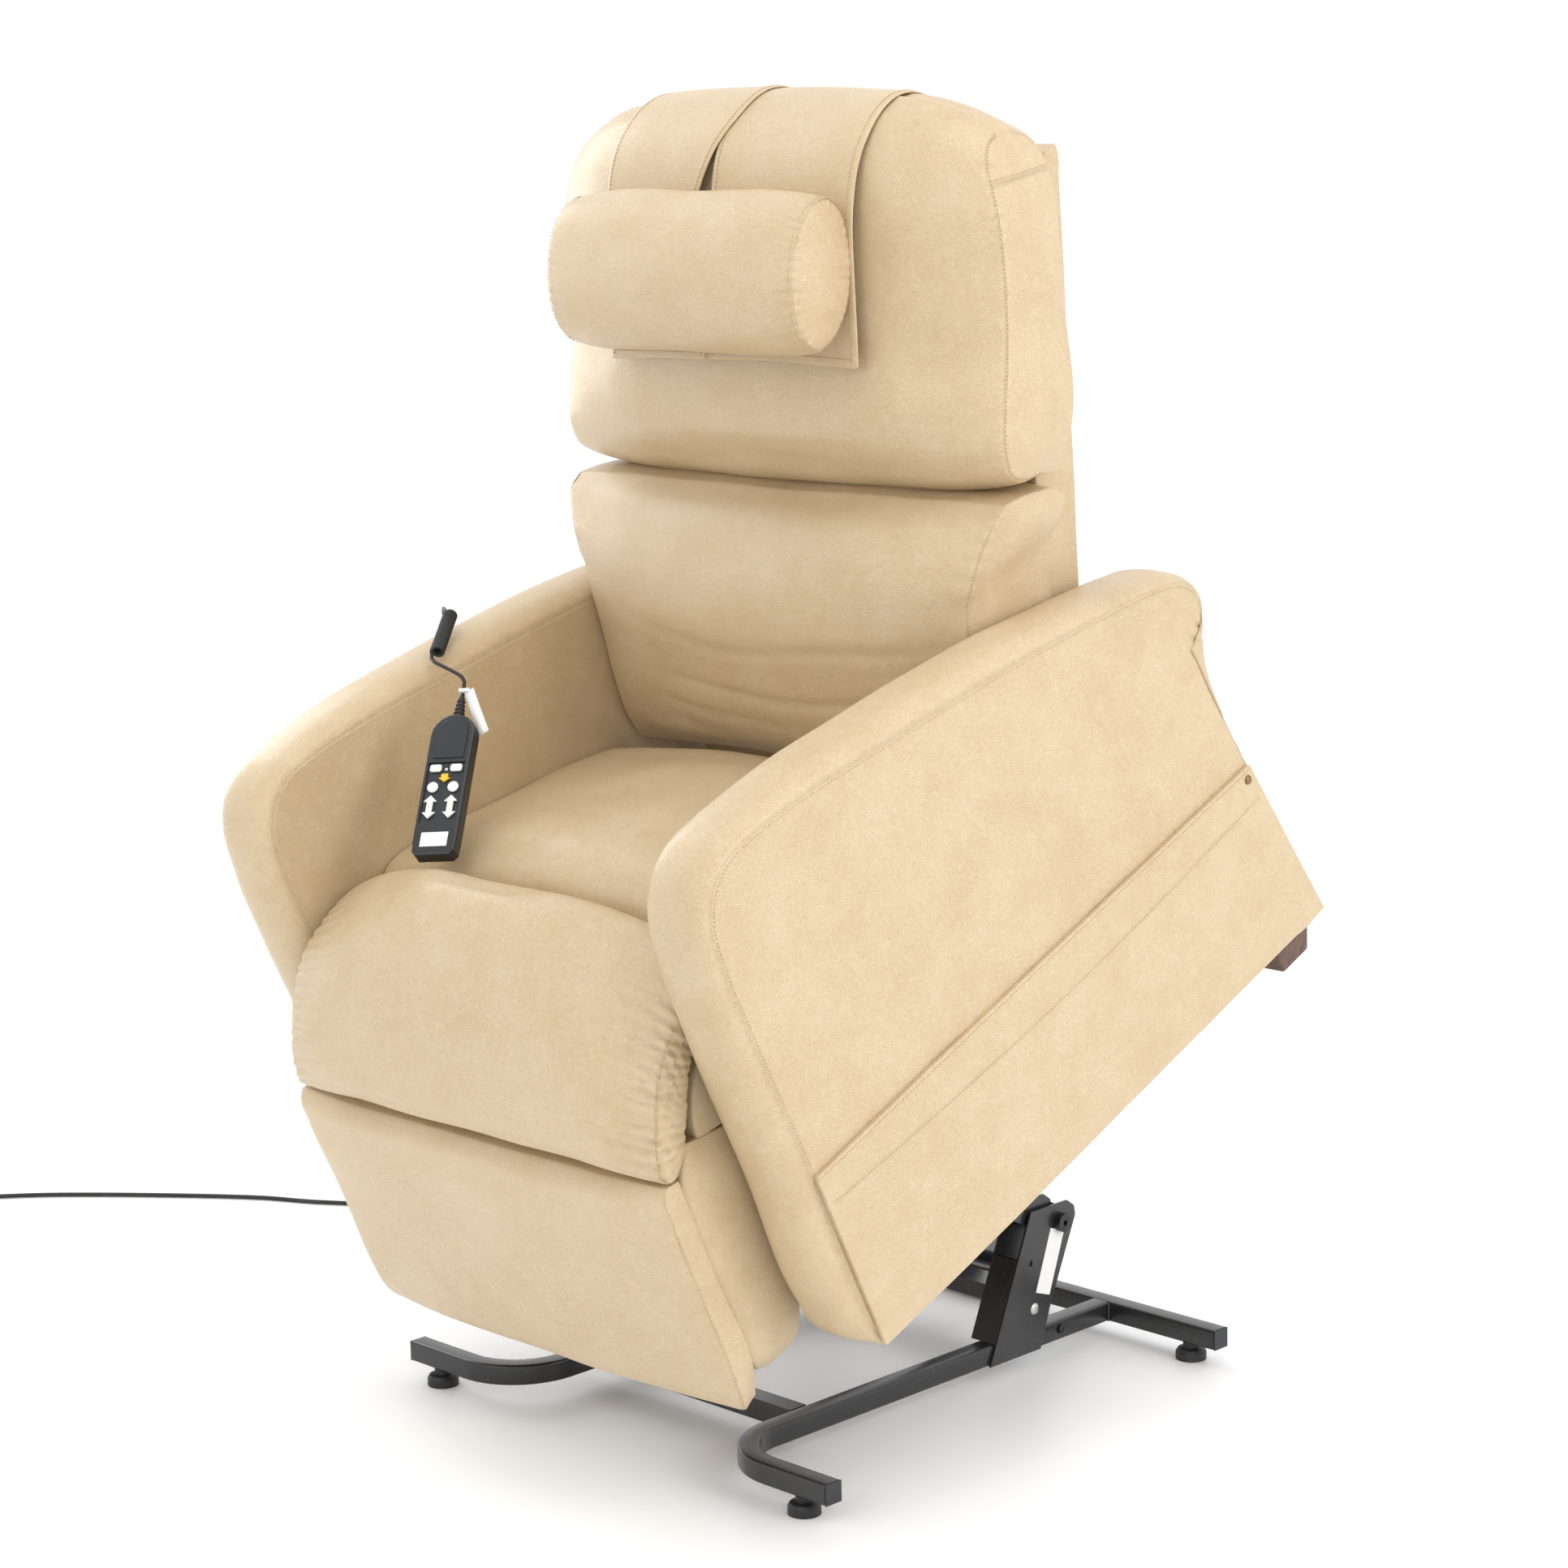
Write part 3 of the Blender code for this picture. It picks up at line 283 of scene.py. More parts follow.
def worn_paint(name, base, bare, roughness):
    """Powder coat with an orange-peel skin that is rubbed a little lighter on its edges."""
    n = Nodes(name)
    edge = n.add("ShaderNodeNewGeometry").outputs["Pointiness"]
    rubbed = n.math("MULTIPLY", n.ramp(edge, 0.0, 0.6, 0.53, 0.62), n.noise(70.0, 3.0), True)
    tone = n.mix(rubbed, base, bare)
    peel = n.bump(n.noise(420.0, 1.5), 0.00016, 0.6)
    return n.finish(tone, n.ramp(n.noise(25.0), roughness - 0.06, roughness + 0.12), peel, Coat_Weight=0.25,
                    Coat_Roughness=0.25)


def wood_material(name, base, dark):
    n = Nodes(name)
    stretch = n.add("ShaderNodeMapping", Vector=n.where)
    stretch.inputs["Scale"].default_value = (60.0, 60.0, 7.0)
    grain = n.noise(3.0, 6.0, 0.6, stretch.outputs[0])
    return n.finish(n.mix(n.ramp(grain, 0.0, 1.0, 0.35, 0.65), dark, base), n.ramp(grain, 0.32, 0.5),
                    n.bump(grain, 0.0002, 0.5))


def floor_material():
    n = Nodes("studio_floor")
    tone = n.mix(n.noise(0.8), (0.93, 0.935, 0.945), (0.95, 0.955, 0.965))
    return n.finish(tone, n.ramp(n.noise(3.0), 0.38, 0.5))


LOOKS = {
    "vinyl": vinyl_material("vinyl_look", TAN, TAN_DARK, TAN_LIGHT),
    "black_steel": worn_paint("black_steel_look", (0.010, 0.010, 0.011), (0.050, 0.050, 0.050), 0.26),
    "wood": wood_material("wood_look", (0.150, 0.070, 0.040), (0.060, 0.026, 0.016)),
    "plywood": wood_material("plywood_look", (0.62, 0.44, 0.26), (0.45, 0.30, 0.16)),
}
# Slot: name, two colours, roughness, the grain's scale and depth, and how metallic it is.
for slot, look in {
    "thread": ("thread", (0.50, 0.35, 0.19), (0.60, 0.44, 0.26), 0.7, 1500.0, 0.0001, 0),
    "bolt_steel": ("bolt_steel", (0.03, 0.03, 0.032), (0.06, 0.06, 0.06), 0.34, 500.0, 0.0001, 0.7),
    "zinc": ("zinc", (0.62, 0.62, 0.60), (0.50, 0.50, 0.49), 0.30, 600.0, 0.0001, 1),
    "rubber": ("rubber", (0.012, 0.012, 0.013), (0.030, 0.030, 0.030), 0.50, 600.0, 0.0001, 0),
    "black_plastic": ("black_plastic", (0.016, 0.018, 0.022), (0.028, 0.03, 0.034), 0.36, 1400.0, 0.00012, 0),
    "key_white": ("key_white", (0.78, 0.79, 0.74), (0.70, 0.71, 0.66), 0.42, 900.0, 0.0001, 0),
    "key_yellow": ("key_yellow", (0.88, 0.52, 0.03), (0.80, 0.44, 0.02), 0.42, 900.0, 0.0001, 0),
    "paper": ("paper", (0.80, 0.80, 0.79), (0.74, 0.74, 0.73), 0.6, 700.0, 0.0001, 0),
    "brass": ("antique_nail", (0.28, 0.17, 0.08), (0.16, 0.09, 0.04), 0.33, 500.0, 0.0002, 0.9),
    "white_plastic": ("clip", (0.70, 0.71, 0.70), (0.62, 0.63, 0.62), 0.3, 700.0, 0.0001, 0),
}.items():
    LOOKS[slot] = plain_material(*look)


# ---------------------------------------------------------------- small tools


def linked(name, data):
    """A new object for a mesh, curve, light or camera, in the scene."""
    made = bpy.data.objects.new(name, data)
    bpy.context.collection.objects.link(made)
    return made


def face_outwards(mesh):
    bm = bmesh.new()
    bm.from_mesh(mesh)
    bmesh.ops.recalc_face_normals(bm, faces=bm.faces)
    bm.to_mesh(mesh)
    bm.free()


def ring_faces(rings, count):
    """The faces between closed rings of COUNT points each."""
    faces = []
    for start in range(0, (rings - 1) * count, count):
        for i in range(count):
            j = (i + 1) % count
            faces.append((start + i, start + j, start + count + j, start + count + i))
    return faces


def grid_faces(rows, count):
    """The faces of an open grid of rows of COUNT points each."""
    return [(a, a + 1, a + count + 1, a + count)
            for start in range(0, (rows - 1) * count, count) for a in range(start, start + count - 1)]


def new_piece(name, vertices, faces, looks, body, matrix=WORLD, slot=None):
    """A mesh object from points in a drawing, in place and riding on its body."""
    mesh = bpy.data.meshes.new(name)
    mesh.from_pydata([tuple(matrix @ Vector(v)) for v in vertices], [], faces)
    face_outwards(mesh)
    mesh.shade_smooth()
    for look in looks:
        mesh.materials.append(LOOKS[look])
    piece = linked(name, mesh)
    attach(piece, body)
    return piece


def thicken(piece, thickness, offset=-1):
    modifier = piece.modifiers.new("thick", "SOLIDIFY")
    modifier.thickness = thickness
    modifier.offset = offset


def subdivide(piece):
    modifier = piece.modifiers.new("smooth", "SUBSURF")
    modifier.levels = modifier.render_levels = 1


def rounded(piece, width):
    modifier = piece.modifiers.new("rounded", "BEVEL")
    modifier.width = width
    modifier.segments = 3
    modifier.limit_method = "ANGLE"
    modifier.angle_limit = math.radians(35)
    piece.data.set_sharp_from_angle(angle=math.radians(50))


def rectangle(left, low, right, high):
    return [(left, low), (right, low), (right, high), (left, high)]


def slab(name, outline, low, high, look, body, matrix, axis=0, slot=None):
    """An outline of two coordinates, given thickness along an axis of the drawing."""
    points = []
    for level in (low, high):
        for a, b in outline:
            points.append({0: (level, a, b), 1: (a, level, b), 2: (a, b, level)}[axis])
    count = len(outline)
    faces = [list(range(count)), list(range(count, 2 * count)), *ring_faces(2, count)]
    return new_piece(name, points, faces, [look], body, matrix, slot)


def turned(name, shape, start, direction, look, body, matrix, sides=24, slot=None):
    """A shape of (radius, height) turned about a direction from a start point."""
    axis = Vector(direction).normalized()
    side = axis.orthogonal().normalized()
    other = axis.cross(side)
    points = []
    for radius, height in shape:
        for i in range(sides):
            angle = 2 * math.pi * i / sides
            outwards = side * math.cos(angle) + other * math.sin(angle)
            points.append(Vector(start) + axis * height + outwards * radius)
    faces = ring_faces(len(shape), sides)
    faces += [list(range(sides)), list(range(len(points) - sides, len(points)))]
    return new_piece(name, points, faces, [look], body, matrix, slot)


def distances(points):
    """How far along a polyline each of its points is."""
    return np.concatenate([[0.0], np.cumsum(np.linalg.norm(np.diff(points, axis=0), axis=1))])


def read_off(table, length, at):
    """The rows of a table at some distances, from the distance of each of its own rows."""
    return np.column_stack([np.interp(at, length, column) for column in table.T])


def smooth_rows(rows):
    """A fine, smooth run through given rows, and how far along it each is, by the first two columns."""
    rows = np.array(rows, float)
    gap = np.maximum(np.linalg.norm(np.diff(rows[:, :2], axis=0), axis=1), 1e-6)[:, None]
    slope = np.diff(rows, axis=0) / gap
    inner = (slope[:-1] * gap[1:] + slope[1:] * gap[:-1]) / (gap[1:] + gap[:-1])
    tangent = np.vstack([slope[:1], inner, slope[-1:]])
    t = np.linspace(0, 1, 16, endpoint=False)[:, None]
    fine = []
    for i, h in enumerate(gap):
        a, b, m, k = rows[i], rows[i + 1], tangent[i] * h, tangent[i + 1] * h
        fine.append(a * (2 * t**3 - 3 * t**2 + 1) + m * (t**3 - 2 * t**2 + t) + b * (3 * t**2 - 2 * t**3)
                    + k * (t**3 - t**2))
    fine = np.vstack([*fine, rows[-1:]])
    return fine, distances(fine[:, :2])


def along(rows, fractions):
    fine, length = smooth_rows(rows)
    return read_off(fine, length, np.asarray(fractions) * length[-1])


def profile(half, *rows):
    """A Pad's side profile, from rows in millimetres. What a row leaves out at its end is 0, 0 and HALF."""
    return [[value / 1000 for value in (*row, *(0, 0, half)[len(row) - 2:])] for row in rows]


def steps_across(width, count, near=NEAR_SEAM):
    """Fractions from 0 to 1 of a width, close together at both ends, where the seams are."""
    reach = min(1.0, 0.3 * width / near[-1])
    close = np.array([0.0, *near]) * reach / width
    middle = np.linspace(close[-1], 1 - close[-1], count - 2 * len(near))[1:-1]
    return np.concatenate([close, middle, 1 - close[::-1]])


def resample(points, spacing):
    """Evenly spaced points along a polyline, and the distance along it of each."""
    points = np.asarray(points, float)
    length = distances(points)
    at = np.linspace(0, length[-1], max(2, round(length[-1] / spacing) + 1))
    return read_off(points, length, at), at


def unit(vector):
    return vector / max(np.linalg.norm(vector), 1e-9)


def stitch_bars(runs, half_width, levels):
    """Short raised bars along runs of (route, outward directions, lift, pitch), as points and faces."""
    points, faces = [], []
    for route, outward, lift, pitch in runs:
        centres, at = resample(route, pitch)
        up = read_off(outward, distances(route), at)
        for n in range(len(centres) - 1):
            tangent = unit(centres[n + 1] - centres[n])
            side = unit(np.cross(tangent, up[n]))
            middle = (centres[n] + centres[n + 1]) / 2 + up[n] * lift
            faces += [tuple(len(points) + corner for corner in face) for face in BAR_FACES]
            for level in levels:
                for ahead, across in BAR_CORNERS:
                    points.append(middle + tangent * ahead * STITCH_LENGTH / 2 + side * across * half_width
                                  + up[n] * level)
    return points, faces


class Pad:
    """A stuffed piece: a box bent between two side profiles, with its seams along the box's side edges.

    Each profile is a list of (y, z, dy, dz, half): a place at the sides, how far it stands out mid-way
    across, and half the width there. CROWN is (power, root) of the rise between the sides, with an optional
    run of (height share, power) where the power changes."""

    def __init__(self, name, front, rear, body, across=36, up=60, deep=12, crown=(2.6, 0.8), middle=0.0,
                 puff=0.0, stands_for=True):
        self.name, self.body, self.stands_for = name, body, stands_for
        self.runs = []
        half = float(np.mean([row[4] for row in front]))
        u = 2 * steps_across(2 * half, across) - 1
        self.shape = (len(u), up, deep)
        skin = self._number_skin()
        points = self._surface(front, rear, u, crown, middle, puff)[skin]
        self.points = points @ np.array(SEATED.to_3x3()).T + np.array(SEATED.translation)
        # How much painted shade each vertex gets in the vinyl's colour, at seams, creases and folds.
        self.painted_fold_shade = np.zeros(len(self.points))
        self._face_outwards()

    def _number_skin(self):
        """Numbers the vertices on the box's surface, and lists its faces."""
        skin = np.zeros(self.shape, bool)
        ends = [(axis, end) for axis in range(3) for end in (0, -1)]
        for axis, end in ends:
            skin[tuple(end if a == axis else slice(None) for a in range(3))] = True
        self.index = -np.ones(self.shape, int)
        self.index[skin] = np.arange(skin.sum())
        faces = []
        for axis, end in ends:
            sheet = self.index.take(end, axis=axis)
            corners = (sheet[:-1, :-1], sheet[1:, :-1], sheet[1:, 1:], sheet[:-1, 1:])
            faces.append(np.stack(corners, -1).reshape(-1, 4))
        self.faces = np.vstack(faces)
        return skin

    def _surface(self, front, rear, u, crown, middle, puff):
        """The box's points, bent between the two profiles."""
        _, up, deep = self.shape
        v = np.linspace(0, 1, up)
        ahead, behind = along(front, v), along(rear, v)
        power = np.interp(v, *zip(*crown[2])) if len(crown) > 2 else np.full(up, crown[0])
        points = np.zeros((*self.shape, 3))
        for j in range(up):
            gap = max(float(np.linalg.norm(behind[j, :2] - ahead[j, :2])), 1e-3)
            w = steps_across(gap, deep)
            rows = ahead[j] * (1 - w[:, None]) + behind[j] * w[:, None]
            swell = puff * np.sin(math.pi * w) ** 0.7 * min(1.0, math.sin(math.pi * v[j]) * 2.5)
            rise = ((1 - np.abs(u) ** power[j]) ** crown[1])[:, None]
            points[:, j, :, 0] = middle + u[:, None] * rows[:, 4]
            points[0, j, :, 0] -= swell
            points[-1, j, :, 0] += swell
            points[:, j, :, 1] = rows[:, 0] + rows[:, 2] * rise
            points[:, j, :, 2] = rows[:, 1] + rows[:, 3] * rise
        return points

    def _face_outwards(self):
        mesh = bpy.data.meshes.new("turning")
        mesh.from_pydata(self.points.tolist(), [], self.faces.tolist())
        face_outwards(mesh)
        self.faces = np.array([list(face.vertices) for face in mesh.polygons])
        bpy.data.meshes.remove(mesh)

    def line(self, i=None, j=None, k=None):
        """The vertices along the one direction that is left out."""
        return self.index[slice(None) if i is None else i, slice(None) if j is None else j,
                          slice(None) if k is None else k]

    def normals(self):
        p = self.points
        a, b, c, d = (p[self.faces[:, i]] for i in range(4))
        face = np.cross(c - a, d - b)
        total = np.zeros_like(p)
        for i in range(4):
            np.add.at(total, self.faces[:, i], face)
        return total / np.maximum(np.linalg.norm(total, axis=1, keepdims=True), 1e-12)

    def evened(self, move, rounds=24):
        """Moves averaged over the mesh, so that the swelling has no small dents."""
        a, b, c, d = (self.faces[:, i] for i in range(4))
        count = np.bincount(self.faces.ravel(), minlength=len(move))[:, None]
        for _ in range(rounds):
            middle = (move[a] + move[b] + move[c] + move[d]) / 4
            total = np.zeros_like(move)
            for corner in (a, b, c, d):
                np.add.at(total, corner, middle)
            move = total / count
        return move

    def nearest(self, line, spacing=0.003):
        """Each vertex's distance from a line of vertices or points, and how far along it that is."""
        points = self.points[line] if np.asarray(line).ndim == 1 else np.asarray(line)
        points, at = resample(points, spacing)
        distance = np.full(len(self.points), np.inf)
        place = np.zeros(len(self.points))
        for start in range(0, len(points), 64):
            gaps = np.linalg.norm(self.points[:, None] - points[None, start:start + 64], axis=2)
            best = gaps.argmin(1)
            gap = gaps[np.arange(len(best)), best]
            closer = gap < distance
            distance[closer], place[closer] = gap[closer], at[start:start + 64][best[closer]]
        return distance, place

    def groove(self, line, depth=SEAM_DEPTH, width=SEAM_WIDTH, shade=1.0):
        distance, _ = self.nearest(line)
        dip = np.exp(-(distance / width) ** 2)
        self.points -= self.normals() * (depth * dip)[:, None]
        # Paints shade into the colour along the groove, as well as denting it.
        self.painted_fold_shade = np.maximum(self.painted_fold_shade, 0.6 * shade * np.exp(-(distance / (0.7 * width)) ** 2))

    def gather(self, line, depth, reach, pitch, seed=0.0, slant=0.0):
        """Puckers that run away from a seam: rounded ridges with sharp valleys, each of its own length."""
        distance, place = self.nearest(line)
        phase = place / pitch + 0.35 * np.sin(place / 0.031 + seed) + slant * distance / pitch
        number = np.floor(phase)
        own = np.abs(np.sin(number * 12.9898 + seed * 7.1) * 43758.5453) % 1.0
        valley = (1 - np.abs(np.sin(math.pi * phase))) ** 1.5
        fade = np.exp(-(distance / (reach * (0.45 + 0.9 * own))) ** 1.4)
        self.points -= self.normals() * (depth * (0.5 + 0.7 * own) * valley * fade)[:, None]
        # Paints shade into the colour in the puckers' valleys.
        self.painted_fold_shade = np.maximum(self.painted_fold_shade, 0.45 * valley * fade)

    def undulate(self, height, size, seed=0.0):
        """A faint, wide unevenness of the stuffing."""
        x, y, z = (self.points / size + seed).T
        wave = (np.sin(x * 1.9 + 1.3 * np.sin(y * 1.3)) * np.sin(z * 1.7 + 1.1 * np.sin(x * 1.1))
                + 0.5 * np.sin(y * 3.1 + z * 2.3 + 2 * np.sin(x * 0.9)))
        self.points += self.normals() * (height * wave / 1.5)[:, None]

    def stitch(self, line, lift=0.0004, pitch=STITCH_PITCH):
        self.runs.append((np.asarray(line), lift, pitch))

    def edges(self, k):
        """Both side edges' lines at a depth."""
        return [self.line(i=0, k=k), self.line(i=-1, k=k)]

    def groove_edges(self, k=0, **values):
        for edge in self.edges(k):
            self.groove(edge, **values)

    def stitch_edges(self, k=1):
        for edge in self.edges(k):
            self.stitch(edge)

    def seams(self, rear=True):
        """The vertices that cloth holds: the side edges and, where it isn't free, the rear."""
        held = [*self.edges(0), *self.edges(-1)]
        if rear:
            held.append(self.index[:, :, -1].ravel())
        return np.unique(np.concatenate(held))

    def stitches(self):
        normals = self.normals()
        runs = []
        for line, lift, pitch in self.runs:
            if line.ndim == 1:
                runs.append((self.points[line], normals[line], lift, pitch))
            else:
                nearest = [int(np.argmin(((self.points - point) ** 2).sum(1))) for point in line]
                runs.append((line, normals[nearest], lift, pitch))
        return stitch_bars(runs, 0.00055, (-0.0004, 0.0005))

    def to_object(self, fill):
        """The finished piece: cover, stitches and a subdivision, in place of its CAD node."""
        extra, extra_faces = self.stitches()
        count = len(self.points)
        faces = [*self.faces.tolist(), *[tuple(count + i for i in face) for face in extra_faces]]
        mesh = bpy.data.meshes.new(self.name)
        mesh.from_pydata([*self.points.tolist(), *[tuple(p) for p in extra]], [], faces)
        mesh.shade_smooth()
        # The per-vertex painted shade, read by the vinyl's colour.
        shade = mesh.attributes.new("painted_fold_shade", "FLOAT", "POINT")
        shade.data.foreach_set("value", np.concatenate([self.painted_fold_shade, np.zeros(len(extra))]).astype(np.float32))
        for look in ("vinyl", "thread"):
            mesh.materials.append(LOOKS[look])
        kinds = np.zeros(len(faces), np.int32)
        kinds[len(self.faces):] = 1
        mesh.polygons.foreach_set("material_index", kinds)
        piece = linked(f"{self.name}_cover", mesh)
        subdivide(piece)
        if isinstance(self.body, str):
            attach(piece, self.body)
        else:
            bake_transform(piece)
        if self.stands_for:
            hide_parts(self.name)


def make_cloth(pad, held, pressure):
    """A stand-in for a pad with Cloth on it, whose held vertices don't move."""
    mesh = bpy.data.meshes.new("cloth")
    mesh.from_pydata(pad.points.tolist(), [], pad.faces.tolist())
    cloth = linked("cloth", mesh)
    cloth.vertex_groups.new(name="held").add([int(i) for i in held], 1.0, "REPLACE")
    modifier = cloth.modifiers.new("cloth", "CLOTH")
    settings = modifier.settings
    settings.quality = 4
    settings.mass = 0.35
    settings.tension_stiffness = settings.compression_stiffness = 18
    settings.shear_stiffness = 8
    settings.bending_stiffness = 1.5
    settings.use_pressure = True
    settings.uniform_pressure_force = pressure
    settings.shrink_min = settings.shrink_max = -0.012
    settings.vertex_group_mass = "held"
    settings.effector_weights.gravity = 0
    modifier.collision_settings.use_collision = False
    modifier.point_cache.frame_start = 1
    modifier.point_cache.frame_end = CLOTH_FRAMES
    return cloth


def stuff(jobs):
    """Runs cloth under pressure on every pad at once, with its seams held, and keeps a capped result."""
    scene = bpy.context.scene
    cloths = [make_cloth(pad, held, pressure) for pad, held, pressure, _ in jobs]
    for number in range(1, CLOTH_FRAMES + 1):
        scene.frame_set(number)
    graph = bpy.context.evaluated_depsgraph_get()
    for (pad, _, _, cap), cloth in zip(jobs, cloths):
        moved = np.empty(len(pad.points) * 3, np.float32)
        cloth.evaluated_get(graph).data.vertices.foreach_get("co", moved)
        move = pad.evened(moved.reshape(-1, 3) - pad.points)
        size = np.linalg.norm(move, axis=1, keepdims=True)
        pad.points = pad.points + move * np.minimum(1.0, cap / np.maximum(size, 1e-9))
    for cloth in cloths:
        bpy.data.objects.remove(cloth)
    scene.frame_set(1)


# ---------------------------------------------------------------- soft pieces


def back_line(z, inset=0):
    """A point on the sloping back, or in front of it, in millimetres."""
    return 670 + (z - 598) * BACK_SLOPE - inset, z


def make_arm(name, side):
    """An arm: two flat sides joined by a full, crowned strip over its front, top and rear end."""
    front = profile(
        ARM_HALF, (-56, 57, -8), (-65, 80, -22), (-69, 130, -32), (-70, 300, -34), (-78, 480, -30, 1),
        (-80, 570, -24, 3), (-74, 620, -18, 8), (-56, 650, -12, 12), (-28, 666, -6, 14), (10, 670, -1, 16),
        (60, 668, 0, 20), (259, 643, 0, 28), (474, 611, 0, 24), (600, 587, 2, 16), (680, 569, 4, 12),
        (712, 558, 7, 10), (733, 540, 12, 5), (741, 516, 14), (733, 494, 11, -6), (716, 482, 6, -6))
    rear = profile(
        ARM_HALF, (-46, 56.5), (100, 57), (400, 57.2), (700, 57.5), (788, 58), (793, 62), (786, 90),
        (762, 190), (736, 308), (715, 410), (706, 466), (704, 474))
    return Pad(name, front, rear, "chair", across=18, up=190, deep=40, crown=(2.6, 0.55),
               middle=side * ARM_MIDDLE)


def finish_arm(pad):
    pad.undulate(0.0007, 0.09, 1.0)
    for k in (0, -1):
        pad.groove_edges(k, shade=0.7)
    pad.stitch_edges(2)
    for number, edge in enumerate(pad.edges(0)):
        pad.gather(edge[-26:], 0.0022, 0.020, 0.013, seed=2.0 + number)
    pad.to_object(0.8)


def make_lower_panel(name, side):
    """The removable flap over the lower side of the chair, in the seated drawing's side view."""
    top = profile(2.6, (-69, 294), (100, 296), (400, 297.5), (736, 298.5))
    low = profile(2.6, (-62, 60), (100, 58), (400, 58), (790, 59))
    return Pad(name, top, low, "chair", across=8, up=170, deep=46, middle=side * 0.4070)


def finish_lower_panel(pad, side):
    outer = -1 if side > 0 else 0
    pad.undulate(0.0005, 0.07, 3.0)
    hem = []
    for t in np.linspace(0, 1, 60):
        sag = 0.014 * math.sin(math.pi * t)
        hem.append(SEATED @ Vector((side * 0.4096, -0.060 + 0.796 * t, 0.253 - sag)))
    pad.groove(np.array(hem), 0.0005, 0.003, 0.4)
    pad.stitch(np.array(hem), 0.0007)
    pad.stitch(pad.line(i=outer, k=2), 0.0006)
    pad.to_object(0.2)


def make_seat():
    top = profile(
        SEAT_HALF, (30, 395), (26, 440, 0, 12), (27, 474, 0, 26), (38, 493, 0, 34), (62, 500, 0, 38),
        (90, 498, 0, 42), (171, 483, 0, 44), (258, 466, 0, 40), (356, 444, 0, 32), (424, 422, 0, 18),
        (446, 404, 0, 6))
    low = profile(SEAT_HALF, (32, 387.5), (200, 362), (430, 327.5), (446, 330))
    return Pad("seat_cushion", top, low, "chair", across=52, up=64, deep=14, crown=(1.9, 1.0))


def finish_seat(pad):
    pad.undulate(0.0014, 0.08, 4.0)
    pad.groove_edges()
    pad.to_object(0.8)


def make_chaise_pad():
    outer = profile(
        SEAT_HALF - 3, (20, 476, 0, 26), (12, 494, 0, 46), (-6, 503, 0, 64), (-34, 503, 0, 68),
        (-68, 497, -6, 60), (-96, 486, -14, 44), (-134, 453, -20, 26), (-163, 405, -20, 8), (-181, 362, -14),
        (-183, 346, -10), (-176, 338.5, -4))
    inner = profile(
        SEAT_HALF - 3, (20, 462, 0, 4), (-45, 457), (-92, 436), (-120, 392), (-150, 346), (-160, 338.5))
    start = SEATED @ Vector((0, -0.070, 0.500))
    end = SEATED @ Vector((0, -0.170, 0.340))
    return Pad("chaise_pad", outer, inner, ("chair", "legrest", start, end), across=66, up=96, deep=14,
               crown=(2.4, 1.0), puff=0.003)


def finish_chaise_pad(pad):
    for number, (edge, depth) in enumerate(zip(pad.edges(0), (0.0030, 0.0062))):
        pad.gather(edge[22:], depth, 0.050, 0.0135, seed=1.0 + number, slant=0.12)
        pad.gather(edge[34:], 0.5 * depth, 0.018, 0.0085, seed=4.0 + number)
        pad.groove(edge, 0.0024, 0.0030)
        pad.stitch(edge, 0.0014, 0.0044)
    pad.groove_edges(-1)
    pad.undulate(0.0016, 0.075, 2.0)
    pad.to_object(0.8)


def make_legrest_panel():
    front = profile(
        307, (-166, 31, 0, -2, 286), (-180, 30, -2, -3, 290), (-189, 38, -6, -2, 298), (-192, 55, -9, 0, 305),
        (-192, 80, -10), (-191, 200, -10), (-190, 300, -9), (-188, 330, -7), (-180, 338.4, -3))
    rear = profile(307, (-163, 36, 0, 0, 290), (-162.6, 80, 0, 0, 306), (-162.4, 200), (-162.4, 335))
    return Pad("legrest_panel", front, rear, "legrest", across=44, up=58, deep=9, crown=(2.6, 0.9))


def make_legrest_core():
    front = profile(
        301, (-150, 60, 0, 0, 290), (-160.6, 82), (-160.8, 150), (-160.8, 318), (-150, 338), (-134, 362))
    rear = profile(
        301, (-128, 53.5, 0, 0, 290), (-88, 66, -2, 0, 298), (-70, 100, -16), (-61, 160, -24),
        (-60, 318, -25), (-74, 343, -12))
    return Pad("legrest_core", front, rear, "legrest", across=32, up=52, deep=12, crown=(7.0, 1.0),
               puff=0.005)


def make_apron(name, side):
    """The covered filler that shows between the chaise pad and the legrest, at one side."""
    front = profile(38, (-116, 352), (-114, 372), (-102, 400), (-80, 427), (-42, 444.5))
    rear = profile(38, (-62, 346), (-40, 356), (-22, 378), (-18, 400), (-20, 432))
    return Pad(name, front, rear, "chair", across=14, up=26, deep=12, middle=side * 0.262, puff=0.003,
               stands_for=False)


def finish_plain(pad, fill, stitched=False, rear_seams=False):
    """The finish of a covered board or filler: a little unevenness and its seams."""
    pad.undulate(0.0008, 0.07, 6.0)
    pad.groove_edges()
    if stitched:
        pad.stitch_edges()
    if rear_seams:
        pad.groove_edges(-1)
    pad.to_object(fill)


def make_lower_back():
    low, wide = 309, 346
    front = profile(
        low, (478, 405), (460, 418, -3), (454, 445, -10), (455, 500, -28), (464, 576, -45), (471, 630, -50),
        (478, 655, -49, 0, 312), (488, 682, -46, 0, 322), (504, 712, -36, 3, 334), (524, 738, -20, 9, wide),
        (546, 748, -6, 12, wide))
    near, in_middle = CUSHION_SIDES_BEHIND, CUSHION_SIDES_BEHIND - CUSHION_BEHIND
    rear = profile(
        low, *[(*back_line(z, near), in_middle) for z in (400, 550, 630)],
        (*back_line(655, near), in_middle, 0, 312), (*back_line(680, near), in_middle, 0, 328),
        (*back_line(700, near), in_middle, 0, 336), (636, 718, 0.5 * in_middle, 8, 337),
        (605, 731, 0, 10, 337))
    return Pad("lower_back_cushion", front, rear, "back", across=56, up=86, deep=20, crown=(2.3, 0.9),
               puff=0.002)


